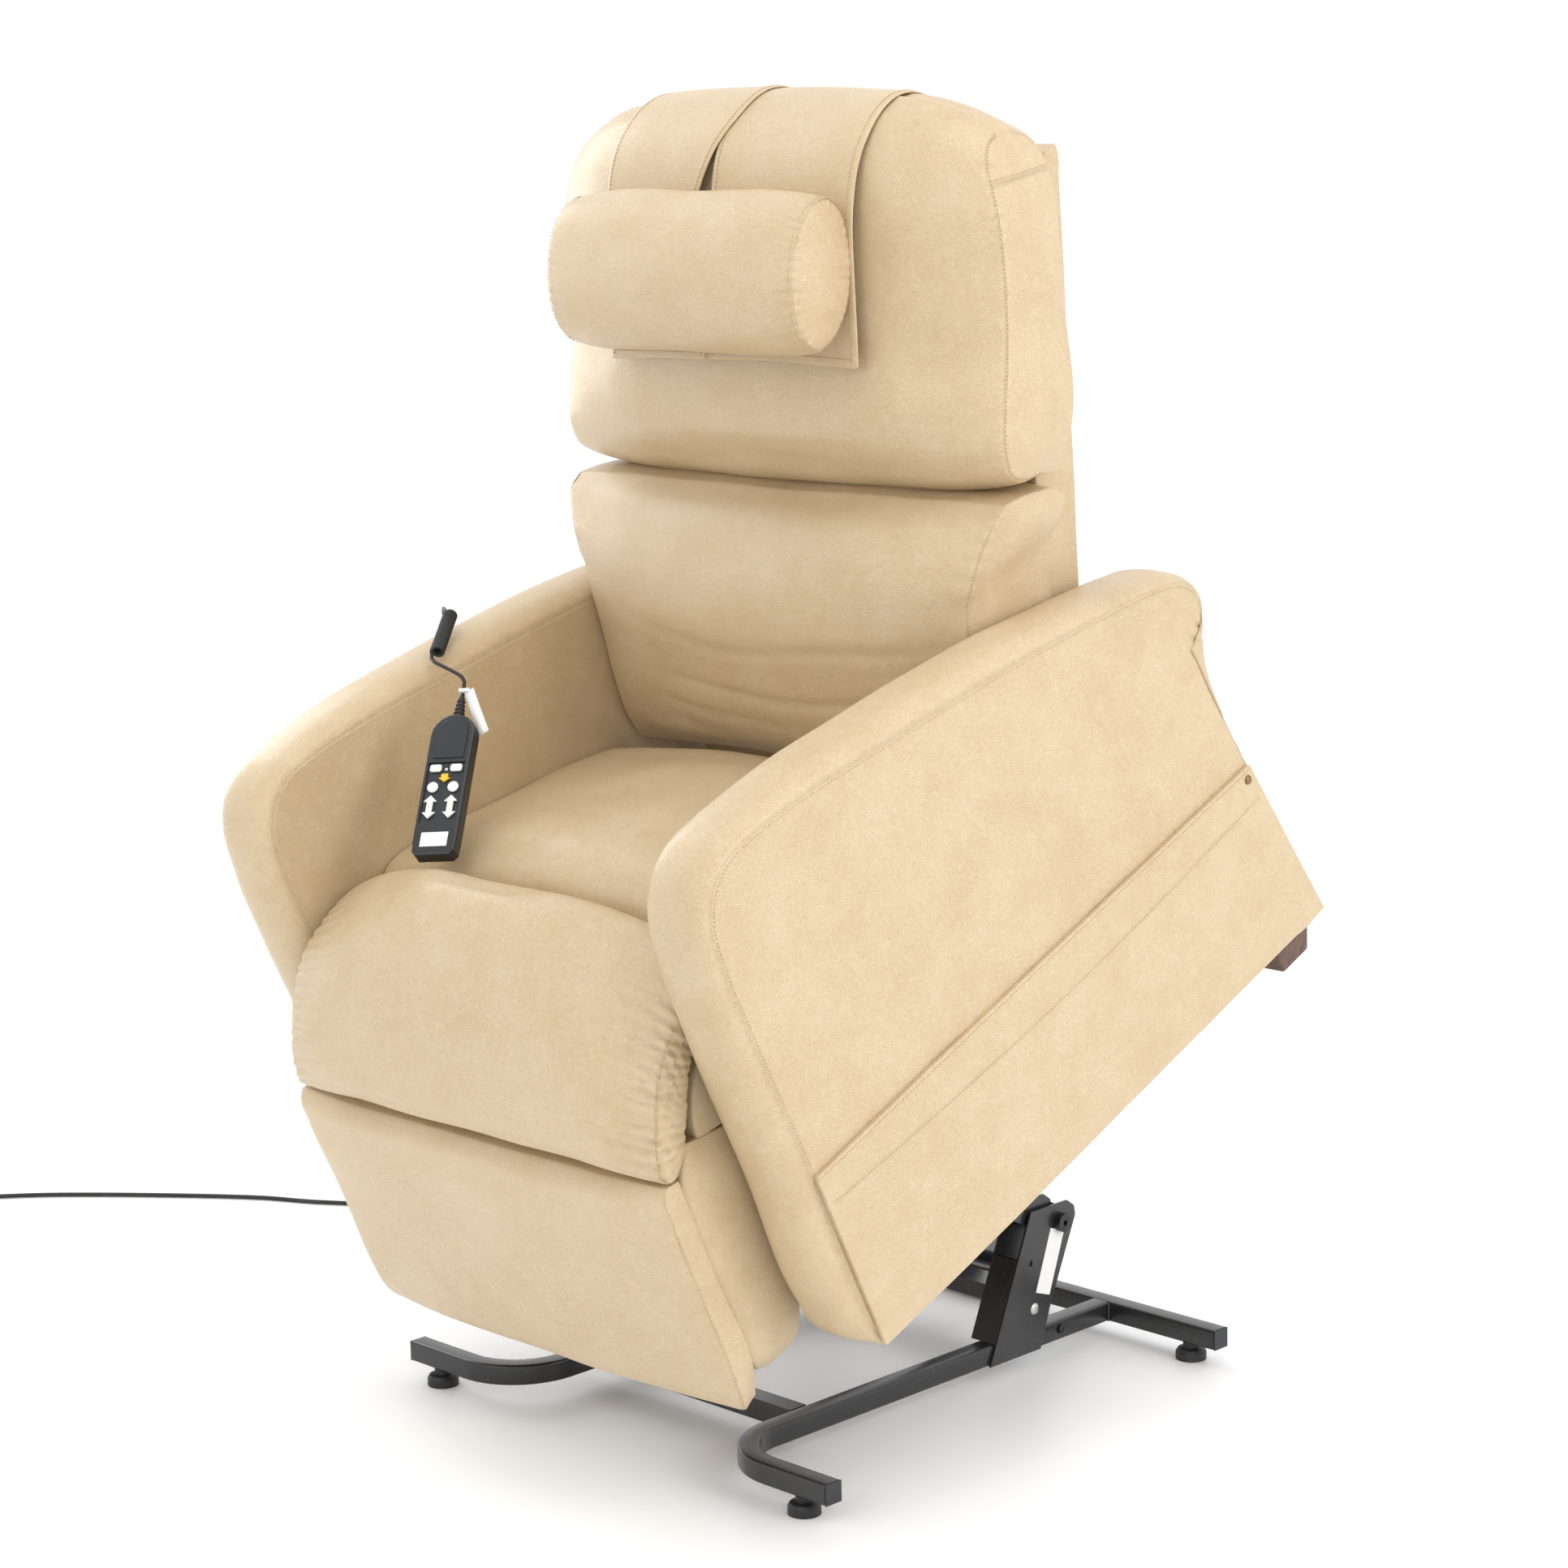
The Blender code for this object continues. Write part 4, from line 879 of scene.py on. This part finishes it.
def finish_lower_back(pad):
    pad.undulate(0.0014, 0.06, 5.0)
    for edge in pad.edges(0):
        pad.gather(edge[60:], 0.0014, 0.018, 0.021, seed=3.0)
        pad.groove(edge)
    pad.stitch_edges()
    for height, bow, depth, reach in ((0.618, 0.012, 0.0022, 0.24), (0.560, 0.020, 0.0026, 0.27),
                                      (0.520, 0.026, 0.0018, 0.22), (0.482, 0.020, 0.0016, 0.20)):
        crease = []
        for t in np.linspace(-1, 1, 40):
            y = 0.46 - 0.048 * (1 - abs(t * reach / 0.309) ** 2.3)
            z = height - bow * (1 - t * t) + 0.004 * math.sin(5 * t + 30 * height)
            crease.append(SEATED @ Vector((reach * t + 0.03, y, z)))
        pad.groove(np.array(crease), depth, 0.008, 0.10)
    pad.to_object(0.8)


def make_upper_back():
    wide = 353
    front = profile(
        wide, (618, 748, -12, -18, 342), (588, 756, -22, -20, 347), (566, 776, -30, -14, 351),
        (566, 802, -40, -6), (584, 845, -54), (617, 908, -60), (642, 970, -58, 3), (660, 1020, -52, 10, 350),
        (676, 1060, -44, 22, 342), (690, 1086, -32, 36, 332), (710, 1101, -14, 52, 324),
        (733, 1103, -2, 62, 318))
    near, in_middle = CUSHION_SIDES_BEHIND, CUSHION_SIDES_BEHIND - CUSHION_BEHIND
    rear = profile(
        wide, (*back_line(732, near + 12), in_middle, -6, 340),
        *[(*back_line(z, near), in_middle, rise, half) for z, rise, half in (
            (760, 0, 348), (900, 0, 350), (980, 0, 349), (1020, 6, 344), (1048, 20, 335))],
        (776, 1076, 0.5 * in_middle, 36, 326), (756, 1096, 0, 54, 320))
    return Pad("upper_back_cushion", front, rear, "back", across=60, up=96, deep=20,
               crown=(2.4, 0.75, ((0, 2.4), (0.7, 2.4), (1, 3.6))), puff=0.002)


def finish_upper_back(pad):
    pad.undulate(0.0012, 0.08, 7.0)
    for edge in pad.edges(0):
        pad.gather(edge[66:88], 0.0013, 0.014, 0.019, seed=6.0)
        pad.groove(edge)
    pad.stitch_edges()
    for i in (0, -1):
        pad.groove(pad.line(i=i, j=80), 0.0012, 0.003)
        pad.stitch(pad.line(i=i, j=81))
    pad.groove_edges(-1)
    pad.to_object(0.85)


def make_outside_back():
    front = profile(306, back_line(272, 30), back_line(1036, 30), back_line(1044, 26))
    rear = profile(
        306, (*back_line(271), 1), (*back_line(290), 4), (*back_line(600), 6), (*back_line(1010), 4),
        (*back_line(1038), 2), back_line(1045.5, 4))
    return Pad("back_frame", front, rear, "back", across=34, up=64, deep=9, crown=(6.0, 1.0))


def roll_rows(start, end, short):
    """Half of the roll's oval side view, between two angles in degrees."""
    rows = []
    for angle in np.radians(np.linspace(start, end, 19)):
        lengthways, out = ROLL_LONG * math.cos(angle), short * math.sin(angle)
        dy = lengthways * math.cos(ROLL_LEAN) - out * math.sin(ROLL_LEAN)
        dz = lengthways * math.sin(ROLL_LEAN) + out * math.cos(ROLL_LEAN)
        rows.append((ROLL_CENTRE[0] + ROLL_CAP * dy, ROLL_CENTRE[1] + ROLL_CAP * dz, (1 - ROLL_CAP) * dy,
                     (1 - ROLL_CAP) * dz, ROLL_HALF))
    return rows


def make_neck_roll():
    """An oval roll: its front and back halves meet along its top and bottom, and each end has its own cap."""
    return Pad("neck_roll", roll_rows(172, 8, ROLL_SHORT), roll_rows(188, 352, ROLL_REAR), "back", across=60,
               up=72, deep=22, crown=(5.0, 1.0), middle=-0.005, puff=0.003)


def finish_neck_roll(pad):
    for i in (0, -1):
        ring = np.concatenate([pad.line(i=i, k=0), pad.line(i=i, j=-1)[1:], pad.line(i=i, k=-1)[::-1][1:],
                               pad.line(i=i, j=0)[::-1][1:]])
        pad.gather(ring, 0.0018, 0.016, 0.0110, seed=8.0 + i)
        pad.groove(ring, 0.0020, 0.0026)
        inner = 2 if i == 0 else -3
        pad.stitch(pad.line(i=inner, k=0), 0.0006, 0.0042)
    pad.undulate(0.0012, 0.05, 9.0)
    pad.to_object(0.9)


# ---------------------------------------------------------------- headrest flap


def flap_route():
    """Rows down the flap's side view, from front hem to rear hem: a place, and the way to the middle."""
    return [(y, z, 0.700 - y, 1.010 - z) for y, z in FLAP_SIDE_VIEW]


def drape(cushions, x, place, towards):
    """Where the flap lies at one point: on whichever cushion a ray from outside meets first."""
    start = SEATED @ Vector((x, *place))
    direction = (SEATED.to_3x3() @ Vector((0, *towards))).normalized()
    best = None
    for tree in cushions:
        hit, normal, _, distance = tree.ray_cast(start, direction)
        if hit and (best is None or distance < best[2]):
            best = (hit, normal, distance)
    return best


def flap_grid(pads, left_edge, right_edge, over):
    """The draped points of a strap between two edges, each a function from a share of its length to an x."""
    trees = [BVHTree.FromPolygons(pad.points.tolist(), pad.faces.tolist()) for pad in pads]
    grid = []
    for share, row in zip(FLAP_SHARES, along(flap_route(), FLAP_SHARES)):
        low, high = left_edge(share), right_edge(share)
        hang = FLAP_HANG * float(np.interp(share, [0.34, 0.56], [1.0, 0.0]))
        line = []
        for x in low + (high - low) * np.linspace(0, 1, FLAP_ACROSS):
            level = HEM_LEVEL * (1 - (x / FLAP_HALF) ** 2) * max(0.0, 1 - 6 * share)
            found = drape(trees, x, (row[0], row[1] + level), row[2:])
            line.append(np.array(found[0] + found[1] * (FLAP_LIFT + over + hang)))
        grid.append(line)
    grid = np.array(grid)
    for _ in range(14):
        grid[1:-1] = 0.5 * grid[1:-1] + 0.25 * (grid[:-2] + grid[2:])
        grid[:, 1:-1] = 0.5 * grid[:, 1:-1] + 0.25 * (grid[:, :-2] + grid[:, 2:])
    return grid


def grid_normals(grid, centre):
    """A draped grid's unit normals, away from the cushions' centre."""
    normal = np.cross(np.gradient(grid, axis=0), np.gradient(grid, axis=1))
    normal /= np.maximum(np.linalg.norm(normal, axis=2, keepdims=True), 1e-12)
    return normal if (normal * (grid - centre)).sum() > 0 else -normal


def make_strap(name, pads, left_edge, right_edge, over):
    """A strap of the flap, lying on the back's pads, with stitches along its edges and hem."""
    grid = flap_grid(pads, left_edge, right_edge, over)
    centre = np.mean([pad.points.mean(0) for pad in pads], axis=0)
    points, faces = grid.reshape(-1, 3).tolist(), grid_faces(*grid.shape[:2])
    piece = new_piece(name, points, faces, ["vinyl", "thread"], "back")
    faces_out = sum((p.center - Vector(centre)).dot(p.normal) for p in piece.data.polygons) > 0
    thicken(piece, FLAP_THICK, 1 if faces_out else -1)
    subdivide(piece)
    normal = grid_normals(grid, centre)
    ways = [(slice(1, -1), 1), (slice(1, -1), -2), (2, slice(1, -1))]
    bars = stitch_bars([(grid[way], normal[way], FLAP_THICK + 0.0002, STITCH_PITCH) for way in ways], 0.0005,
                       (-0.0003, 0.0004))
    thread = new_piece(name + "_thread", *bars, ["thread"], "back", slot="vinyl")
    return piece


def make_headrest_flap(upper, outside):
    """Two straps that part above the roll in a narrow slit; one laps over the other on top of the back."""
    def slit(edge):
        return lambda share: float(np.interp(share, FLAP_SLIT_AT, edge))

    pads = [upper, outside]
    right = make_strap("headrest_flap_right_strap", pads, lambda share: -FLAP_HALF, slit(FLAP_SLIT_RIGHT),
                       0.0034)
    make_strap("headrest_flap_left_strap", pads, slit(FLAP_SLIT_LEFT), lambda share: FLAP_HALF, 0.0)
    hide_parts("headrest_flap")


# ---------------------------------------------------------------- cords


def smooth_route(points, spacing):
    """Points about SPACING apart on a smooth curve through given points."""
    points = [Vector(p) for p in points]
    ends = [2 * points[0] - points[1], *points, 2 * points[-1] - points[-2]]
    route = [points[0]]
    for a, b, c, d in zip(ends, ends[1:], ends[2:], ends[3:]):
        steps = max(1, round((c - b).length / spacing))
        for step in range(1, steps + 1):
            t = step / steps
            route.append(0.5 * (2 * b + (c - a) * t + (2 * a - 5 * b + 4 * c - d) * t * t
                                + (3 * b - a - 3 * c + d) * t ** 3))
    return route


def cord_piece(name, route, diameter, body, **facts):
    """A cord along a route, from its exit."""
    curve = bpy.data.curves.new(name, "CURVE")
    curve.dimensions = "3D"
    curve.bevel_depth = diameter / 2
    curve.bevel_resolution = 3
    curve.use_fill_caps = True
    spline = curve.splines.new("POLY")
    spline.points.add(len(route) - 1)
    for point, place in zip(spline.points, route):
        point.co = (*place, 1)
    spline.use_smooth = True
    curve.materials.append(LOOKS["rubber"])
    piece = linked(name, curve)
    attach(piece, body)
    return piece


def mains_coil_route():
    """Two turns inwards on the floor, then two outwards on top of them."""
    route = []
    for share in np.arange(COIL_STEPS + 1) / COIL_STEPS:
        radius = COIL_OUTER - (COIL_OUTER - COIL_INNER) * (1 - abs(2 * share - 1)) ** 0.9
        climb = min(1.0, max(0.0, (share - 0.44) / 0.12))
        angle = COIL_ENTRY - 2 * math.pi * COIL_TURNS * share
        height = COIL_LOW + (COIL_HIGH - COIL_LOW) * climb
        route.append(MAINS_COIL + Vector((radius * math.cos(angle), radius * math.sin(angle), height)))
    return route


def make_mains_cord():
    start = MAINS_EXIT + Vector((-RELIEF - 0.0004, 0, 0))
    plug = MAINS_COIL + Vector((-0.0118, -0.054, 0.011))
    coil = mains_coil_route()
    leaving = coil[-1] + (coil[-1] - coil[-2]).normalized() * 0.010
    last = smooth_route([leaving, plug + Vector((0.012, 0.003, 0.0)), plug], 0.006)
    route = [BASE @ point for point in smooth_route([start, *MAINS_ROUTE], 0.02)[:-1] + coil + last]
    on_it = [frame["nodes"]["mains_plug"], frame["nodes"]["mains_strain_relief"]]
    piece = cord_piece("mains_lead", route, MAINS_CORD, "base", far_end="plug", stiffness="medium",
                       lay="coiled", with_pieces=on_it)
    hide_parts("mains_cord", "mains_coil")


def make_handset_cord():
    """The lead, the tight curl over the arm, and the tail that goes down outside and in under the seat."""
    start = HANDSET_FOOT + HANDSET_UP * (HANDSET_LENGTH + 0.0269) - HANDSET_NORMAL * HANDSET_THICK / 2
    axis = (CURL_FAR - CURL_NEAR).normalized()
    side = axis.cross(Vector((0, 0, 1))).normalized()
    up = side.cross(axis)
    rim = (CURLY_OUTSIDE - CURLY_CORD) / 2
    curl = []
    steps = CURL_TURNS * 16
    for step in range(steps + 1):
        angle = 2 * math.pi * CURL_TURNS * step / steps
        curl.append(CURL_NEAR + (CURL_FAR - CURL_NEAR) * step / steps - side * rim * math.cos(angle)
                    + up * rim * math.sin(angle))
    lead = [start, start + HANDSET_UP * 0.010, start + HANDSET_UP * 0.022 + Vector((-0.002, 0, 0.006)),
            curl[0] - axis * 0.012 + Vector((0.006, 0, -0.004)), curl[0] - axis * 0.003 - up * 0.002]
    tail = [curl[-1] + axis * 0.004 + up * 0.002, *HANDSET_TAIL]
    route = [SEATED @ point for point in smooth_route(lead, 0.006)[:-1] + curl + smooth_route(tail, 0.012)]
    piece = cord_piece("handset_cord", route, CURLY_CORD, "chair", far_end="object", stiffness="limp",
                       lay="coiled", with_pieces=[frame["nodes"]["handset_strain_relief"]])
    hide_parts("handset_lead", "handset_curl", "handset_tail")


# ---------------------------------------------------------------- small hard pieces


def handset_slab(name, outline, low, high, look, edge, slot=None):
    """A thin sheet or cap on the handset's front, with bevelled edges."""
    rounded(slab(name, outline, low, high, look, "chair", HANDSET, 2, slot), edge)


def make_handset_details():
    """Keypad sheet, dome, indicator, blank label and the ribs of the strain relief."""
    handset_slab("keypad_sheet", rectangle(-0.0218, 0.0426, 0.0218, 0.1204), -0.0030, -0.00206,
                 "black_plastic", 0.0002)
    handset_slab("handset_blank_label", rectangle(-0.0165, 0.0105, 0.0165, 0.0290), 0.0001, 0.0007, "paper",
                 0.0003, "key_white")
    turned("handset_indicator", [(0.0018, -0.0024), (0.0018, -0.0010), (0.0012, -0.0006)], (0, 0.1120, 0),
           (0, 0, 1), "white_plastic", "chair", HANDSET, 16, "key_white")
    dome = [(-0.0190, 0.1262), (0.0190, 0.1262)]
    for i in range(13):
        angle = math.pi * i / 12
        dome.append((0.0195 * math.cos(angle), HANDSET_LENGTH - HANDSET_HALF + 0.0195 * math.sin(angle)))
    handset_slab("handset_dome", dome, -0.0005, 0.0016, "black_plastic", 0.0009)
    for i in range(4):
        outer = 0.0066 - 0.0006 * i
        inner = outer - 0.0012
        place = (0, HANDSET_LENGTH + 0.0045 + 0.0055 * i, -HANDSET_THICK / 2)
        turned(f"relief_rib_{i}", [(inner, -0.0012), (outer, -0.0007), (outer, 0.0007), (inner, 0.0012)],
               place, (0, 1, 0), "rubber", "chair", HANDSET)


def make_tag():
    """A blank paper tag that hangs from a clip on the handset's lead."""
    top = HANDSET_LENGTH + 0.034
    vertices = []
    for t in np.linspace(0, 1, 15):
        x, y, z = 0.009 + 0.026 * t, top - 0.056 * t, -0.006 + 0.006 * math.sin(2.2 * t) - 0.010 * t
        for side in (-1, 1):
            vertices.append((x + side * 0.0055, y + side * 0.0030, z + side * 0.0012))
    tag = new_piece("blank_tag", vertices, grid_faces(15, 2), ["paper"], "chair", HANDSET, "key_white")
    thicken(tag, 0.0004)
    handset_slab("tag_clip", rectangle(-0.004, top - 0.002, 0.010, top + 0.003), -0.0135, -0.0045,
                 "white_plastic", 0.001, "key_white")


def tube_plug(name, side, x, y):
    """The plastic plug in a tube's end: a thin bevelled square."""
    half = 0.0125
    low, high = sorted((side * x, side * (x + 0.0018)))
    outline = rectangle(y - half, TUBE_MIDDLE - half, y + half, TUBE_MIDDLE + half)
    rounded(slab(name, outline, low, high, "black_plastic", "base", BASE), 0.0009)


def weld_bead(name, side):
    """The small rippled fillet where a rail meets the rear crossbar."""
    points = []
    count = 22
    for i in range(count):
        radius = 0.0026 + 0.0005 * math.sin(2.4 * i)
        for angle in np.linspace(0, math.pi / 2, 6):
            points.append((side * (0.1876 + radius * math.cos(angle)), 0.6776 - radius * math.sin(angle),
                           0.0235 + 0.022 * i / (count - 1)))
    thicken(new_piece(name, points, grid_faces(count, 6), ["black_steel"], "base", BASE), 0.0008)


def make_base_details():
    for name, side in SIDES:
        tube_plug(f"front_tube_plug_{name}", side, 0.3521, 0.0127)
        tube_plug(f"rear_tube_plug_{name}", side, 0.3531, REAR_BAR_Y)
        out = (side, 0, 0)
        turned(f"rivet_{name}", [(0.0075, 0), (0.0073, 0.0010), (0.0052, 0.0024), (0.0020, 0.0030)],
               (side * 0.1906, 0.533, 0.076), out, "zinc", "base", BASE)
        turned(f"rail_bolt_{name}", [(0.0062, 0), (0.0062, 0.0022), (0.0046, 0.0040), (0.0015, 0.0044)],
               (side * 0.1871, 0.587, 0.036), out, "bolt_steel", "base", BASE)
        weld_bead(f"rear_weld_{name}", side)
        # The domed nail at the rear top of the lower side panel.
        turned(f"panel_nail_{name}", [(0.0058, 0), (0.0056, 0.0012), (0.0042, 0.0027), (0.0020, 0.0034),
                                      (0.0004, 0.0036)],
               (side * 0.4094, 0.7255, 0.2840), out, "brass", "chair", SEATED, slot="bolt_steel")
    label = [(0.5645, 0.1710), (0.5895, 0.1630), (0.5615, 0.0870), (0.5365, 0.0955)]
    paper = slab("upright_blank_label", label, 0.1906, 0.1909, "paper", "base", BASE, slot="key_white")
    rounded(paper, 0.0001)


def tube_section():
    """A square tube's outline with rounded corners, as (across, up) about its middle."""
    flat = TUBE / 2 - TUBE_CORNER
    section = []
    for corner, (sx, sz) in enumerate(((1, 1), (-1, 1), (-1, -1), (1, -1))):
        for step in range(5):
            angle = math.pi / 2 * (corner + step / 4)
            section.append((sx * flat + TUBE_CORNER * math.cos(angle),
                            sz * flat + TUBE_CORNER * math.sin(angle)))
    return section


def square_tube(name, stands_for, stations):
    """A tube through stations of ((x, y), (out x, out y)), closed at both ends, in place of its CAD node."""
    section = tube_section()
    points = []
    for (x, y), (out_x, out_y) in stations:
        points += [(x + across * out_x, y + across * out_y, TUBE_MIDDLE + up) for across, up in section]
    count = len(section)
    ends = [list(range(count)), list(range(len(points) - count, len(points)))]
    faces = ends + ring_faces(len(stations), count)
    piece = new_piece(name, points, faces, ["black_steel"], "base", BASE)
    piece.data.set_sharp_from_angle(angle=math.radians(60))
    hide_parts(stands_for)


def make_tubes():
    """The bent side rails and the rear crossbar, with the rounded corners of drawn tube."""
    half = TUBE / 2
    for name, side in SIDES:
        stations = [((side * RAIL_X, REAR_BAR_Y - half), (side, 0))]
        centre = (RAIL_X + RAIL_BEND, half + RAIL_BEND)
        for step in range(19):
            turn = math.pi / 2 * step / 18
            out = (math.cos(turn), math.sin(turn))
            stations.append(((side * (centre[0] - RAIL_BEND * out[0]), centre[1] - RAIL_BEND * out[1]),
                             (side * out[0], out[1])))
        stations.append(((side * STUB_END_X, half), (0, 1)))
        square_tube(f"bent_rail_{name}", f"base_rail_{name}", stations)
    square_tube("rear_tube", "rear_crossbar",
                [((-STUB_END_X - 0.001, REAR_BAR_Y), (0, 1)), ((STUB_END_X + 0.001, REAR_BAR_Y), (0, 1))])


def paint_cad():
    """Every CAD node that still shows gets its detailed material."""
    slots = {part["node"]: part["material_slot"] for part in frame["record"]["subparts"]}
    for name, node in frame["nodes"].items():
        look = LOOKS[slots[name]]
        for slot in node.material_slots:
            slot.material = look
        if not node.material_slots:
            node.data.materials.append(look)


# ---------------------------------------------------------------- stage


def make_camera():
    camera = linked("camera", bpy.data.cameras.new("camera"))
    camera.data.lens = CAMERA_LENS
    camera.data.sensor_width = 36.0
    camera.data.clip_end = FLOOR_REACH
    back = Vector((math.sin(CAMERA_AZIMUTH) * math.cos(CAMERA_HEIGHT),
                   -math.cos(CAMERA_AZIMUTH) * math.cos(CAMERA_HEIGHT), math.sin(CAMERA_HEIGHT)))
    right = Vector((math.cos(CAMERA_AZIMUTH), math.sin(CAMERA_AZIMUTH), 0))
    up = back.cross(right)
    turn = Matrix((right, up, back)).transposed() @ Matrix.Rotation(CAMERA_ROLL, 3, "Z")
    camera.matrix_world = Matrix.Translation(CAMERA_PLACE) @ turn.to_4x4()
    bpy.context.scene.camera = camera


def softbox(name, place, size, power):
    """A rectangular light that faces the chair's middle."""
    light = bpy.data.lights.new(name, "AREA")
    light.shape = "RECTANGLE"
    light.size, light.size_y = size
    light.energy = power
    made = linked(name, light)
    made.location = place
    made.rotation_euler = (Vector((0, 0, 0.8)) - Vector(place)).to_track_quat("-Z", "Y").to_euler()


def make_stage():
    mesh = bpy.data.meshes.new("studio_floor")
    corners = rectangle(-FLOOR_REACH, -FLOOR_REACH, FLOOR_REACH, FLOOR_REACH)
    mesh.from_pydata([(*corner, 0) for corner in corners], [], [(0, 1, 2, 3)])
    mesh.materials.append(floor_material())
    floor = linked("studio_floor", mesh)
    floor.location.z = -0.0002
    world = bpy.data.worlds.new("studio")
    world.use_nodes = True
    sky = world.node_tree.nodes["Background"].inputs
    sky["Color"].default_value = (1.0, 1.0, 1.0, 1)
    sky["Strength"].default_value = 1.10
    bpy.context.scene.world = world
    bpy.context.scene.view_settings.view_transform = "Standard"
    softbox("right_softbox", (3.4, 0.6, 2.0), (1.4, 2.4), 44)
    softbox("left_softbox", (-3.2, 0.2, 1.9), (1.2, 2.4), 34)
    softbox("top_softbox", (0.4, -0.8, 4.0), (1.8, 1.8), 20)
    softbox("front_softbox", (0.6, -4.4, 2.4), (1.8, 1.8), 18)


# ---------------------------------------------------------------- whole scene


def make_soft_pieces():
    arms = [make_arm(f"arm_{name}", side) for name, side in SIDES]
    panels = [make_lower_panel(f"lower_side_panel_{name}", side) for name, side in SIDES]
    aprons = [make_apron(f"legrest_apron_{name}", side) for name, side in SIDES]
    seat, chaise, lower, upper = make_seat(), make_chaise_pad(), make_lower_back(), make_upper_back()
    roll, outside = make_neck_roll(), make_outside_back()
    leg_panel, core = make_legrest_panel(), make_legrest_core()
    stuff([
        (seat, seat.seams(), 2.5, 0.007), (chaise, chaise.seams(), 3.0, 0.008),
        (lower, lower.seams(), 3.0, 0.009), (upper, upper.seams(), 3.0, 0.009),
        (roll, roll.seams(rear=False), 2.5, 0.004), (leg_panel, leg_panel.seams(), 2.0, 0.005),
        (core, core.seams(), 1.5, 0.004),
    ])
    for arm in arms:
        finish_arm(arm)
    for panel, (_, side) in zip(panels, SIDES):
        finish_lower_panel(panel, side)
    finish_seat(seat)
    finish_chaise_pad(chaise)
    finish_plain(leg_panel, 0.7, stitched=True)
    finish_plain(core, 0.6)
    finish_plain(outside, 0.3, rear_seams=True)
    for apron in aprons:
        finish_plain(apron, 0.5)
    finish_lower_back(lower)
    finish_upper_back(upper)
    finish_neck_roll(roll)
    make_headrest_flap(upper, outside)


make_camera()
make_stage()
paint_cad()
make_mains_cord()
make_handset_cord()
make_handset_details()
make_tag()
make_tubes()
make_base_details()
make_soft_pieces()
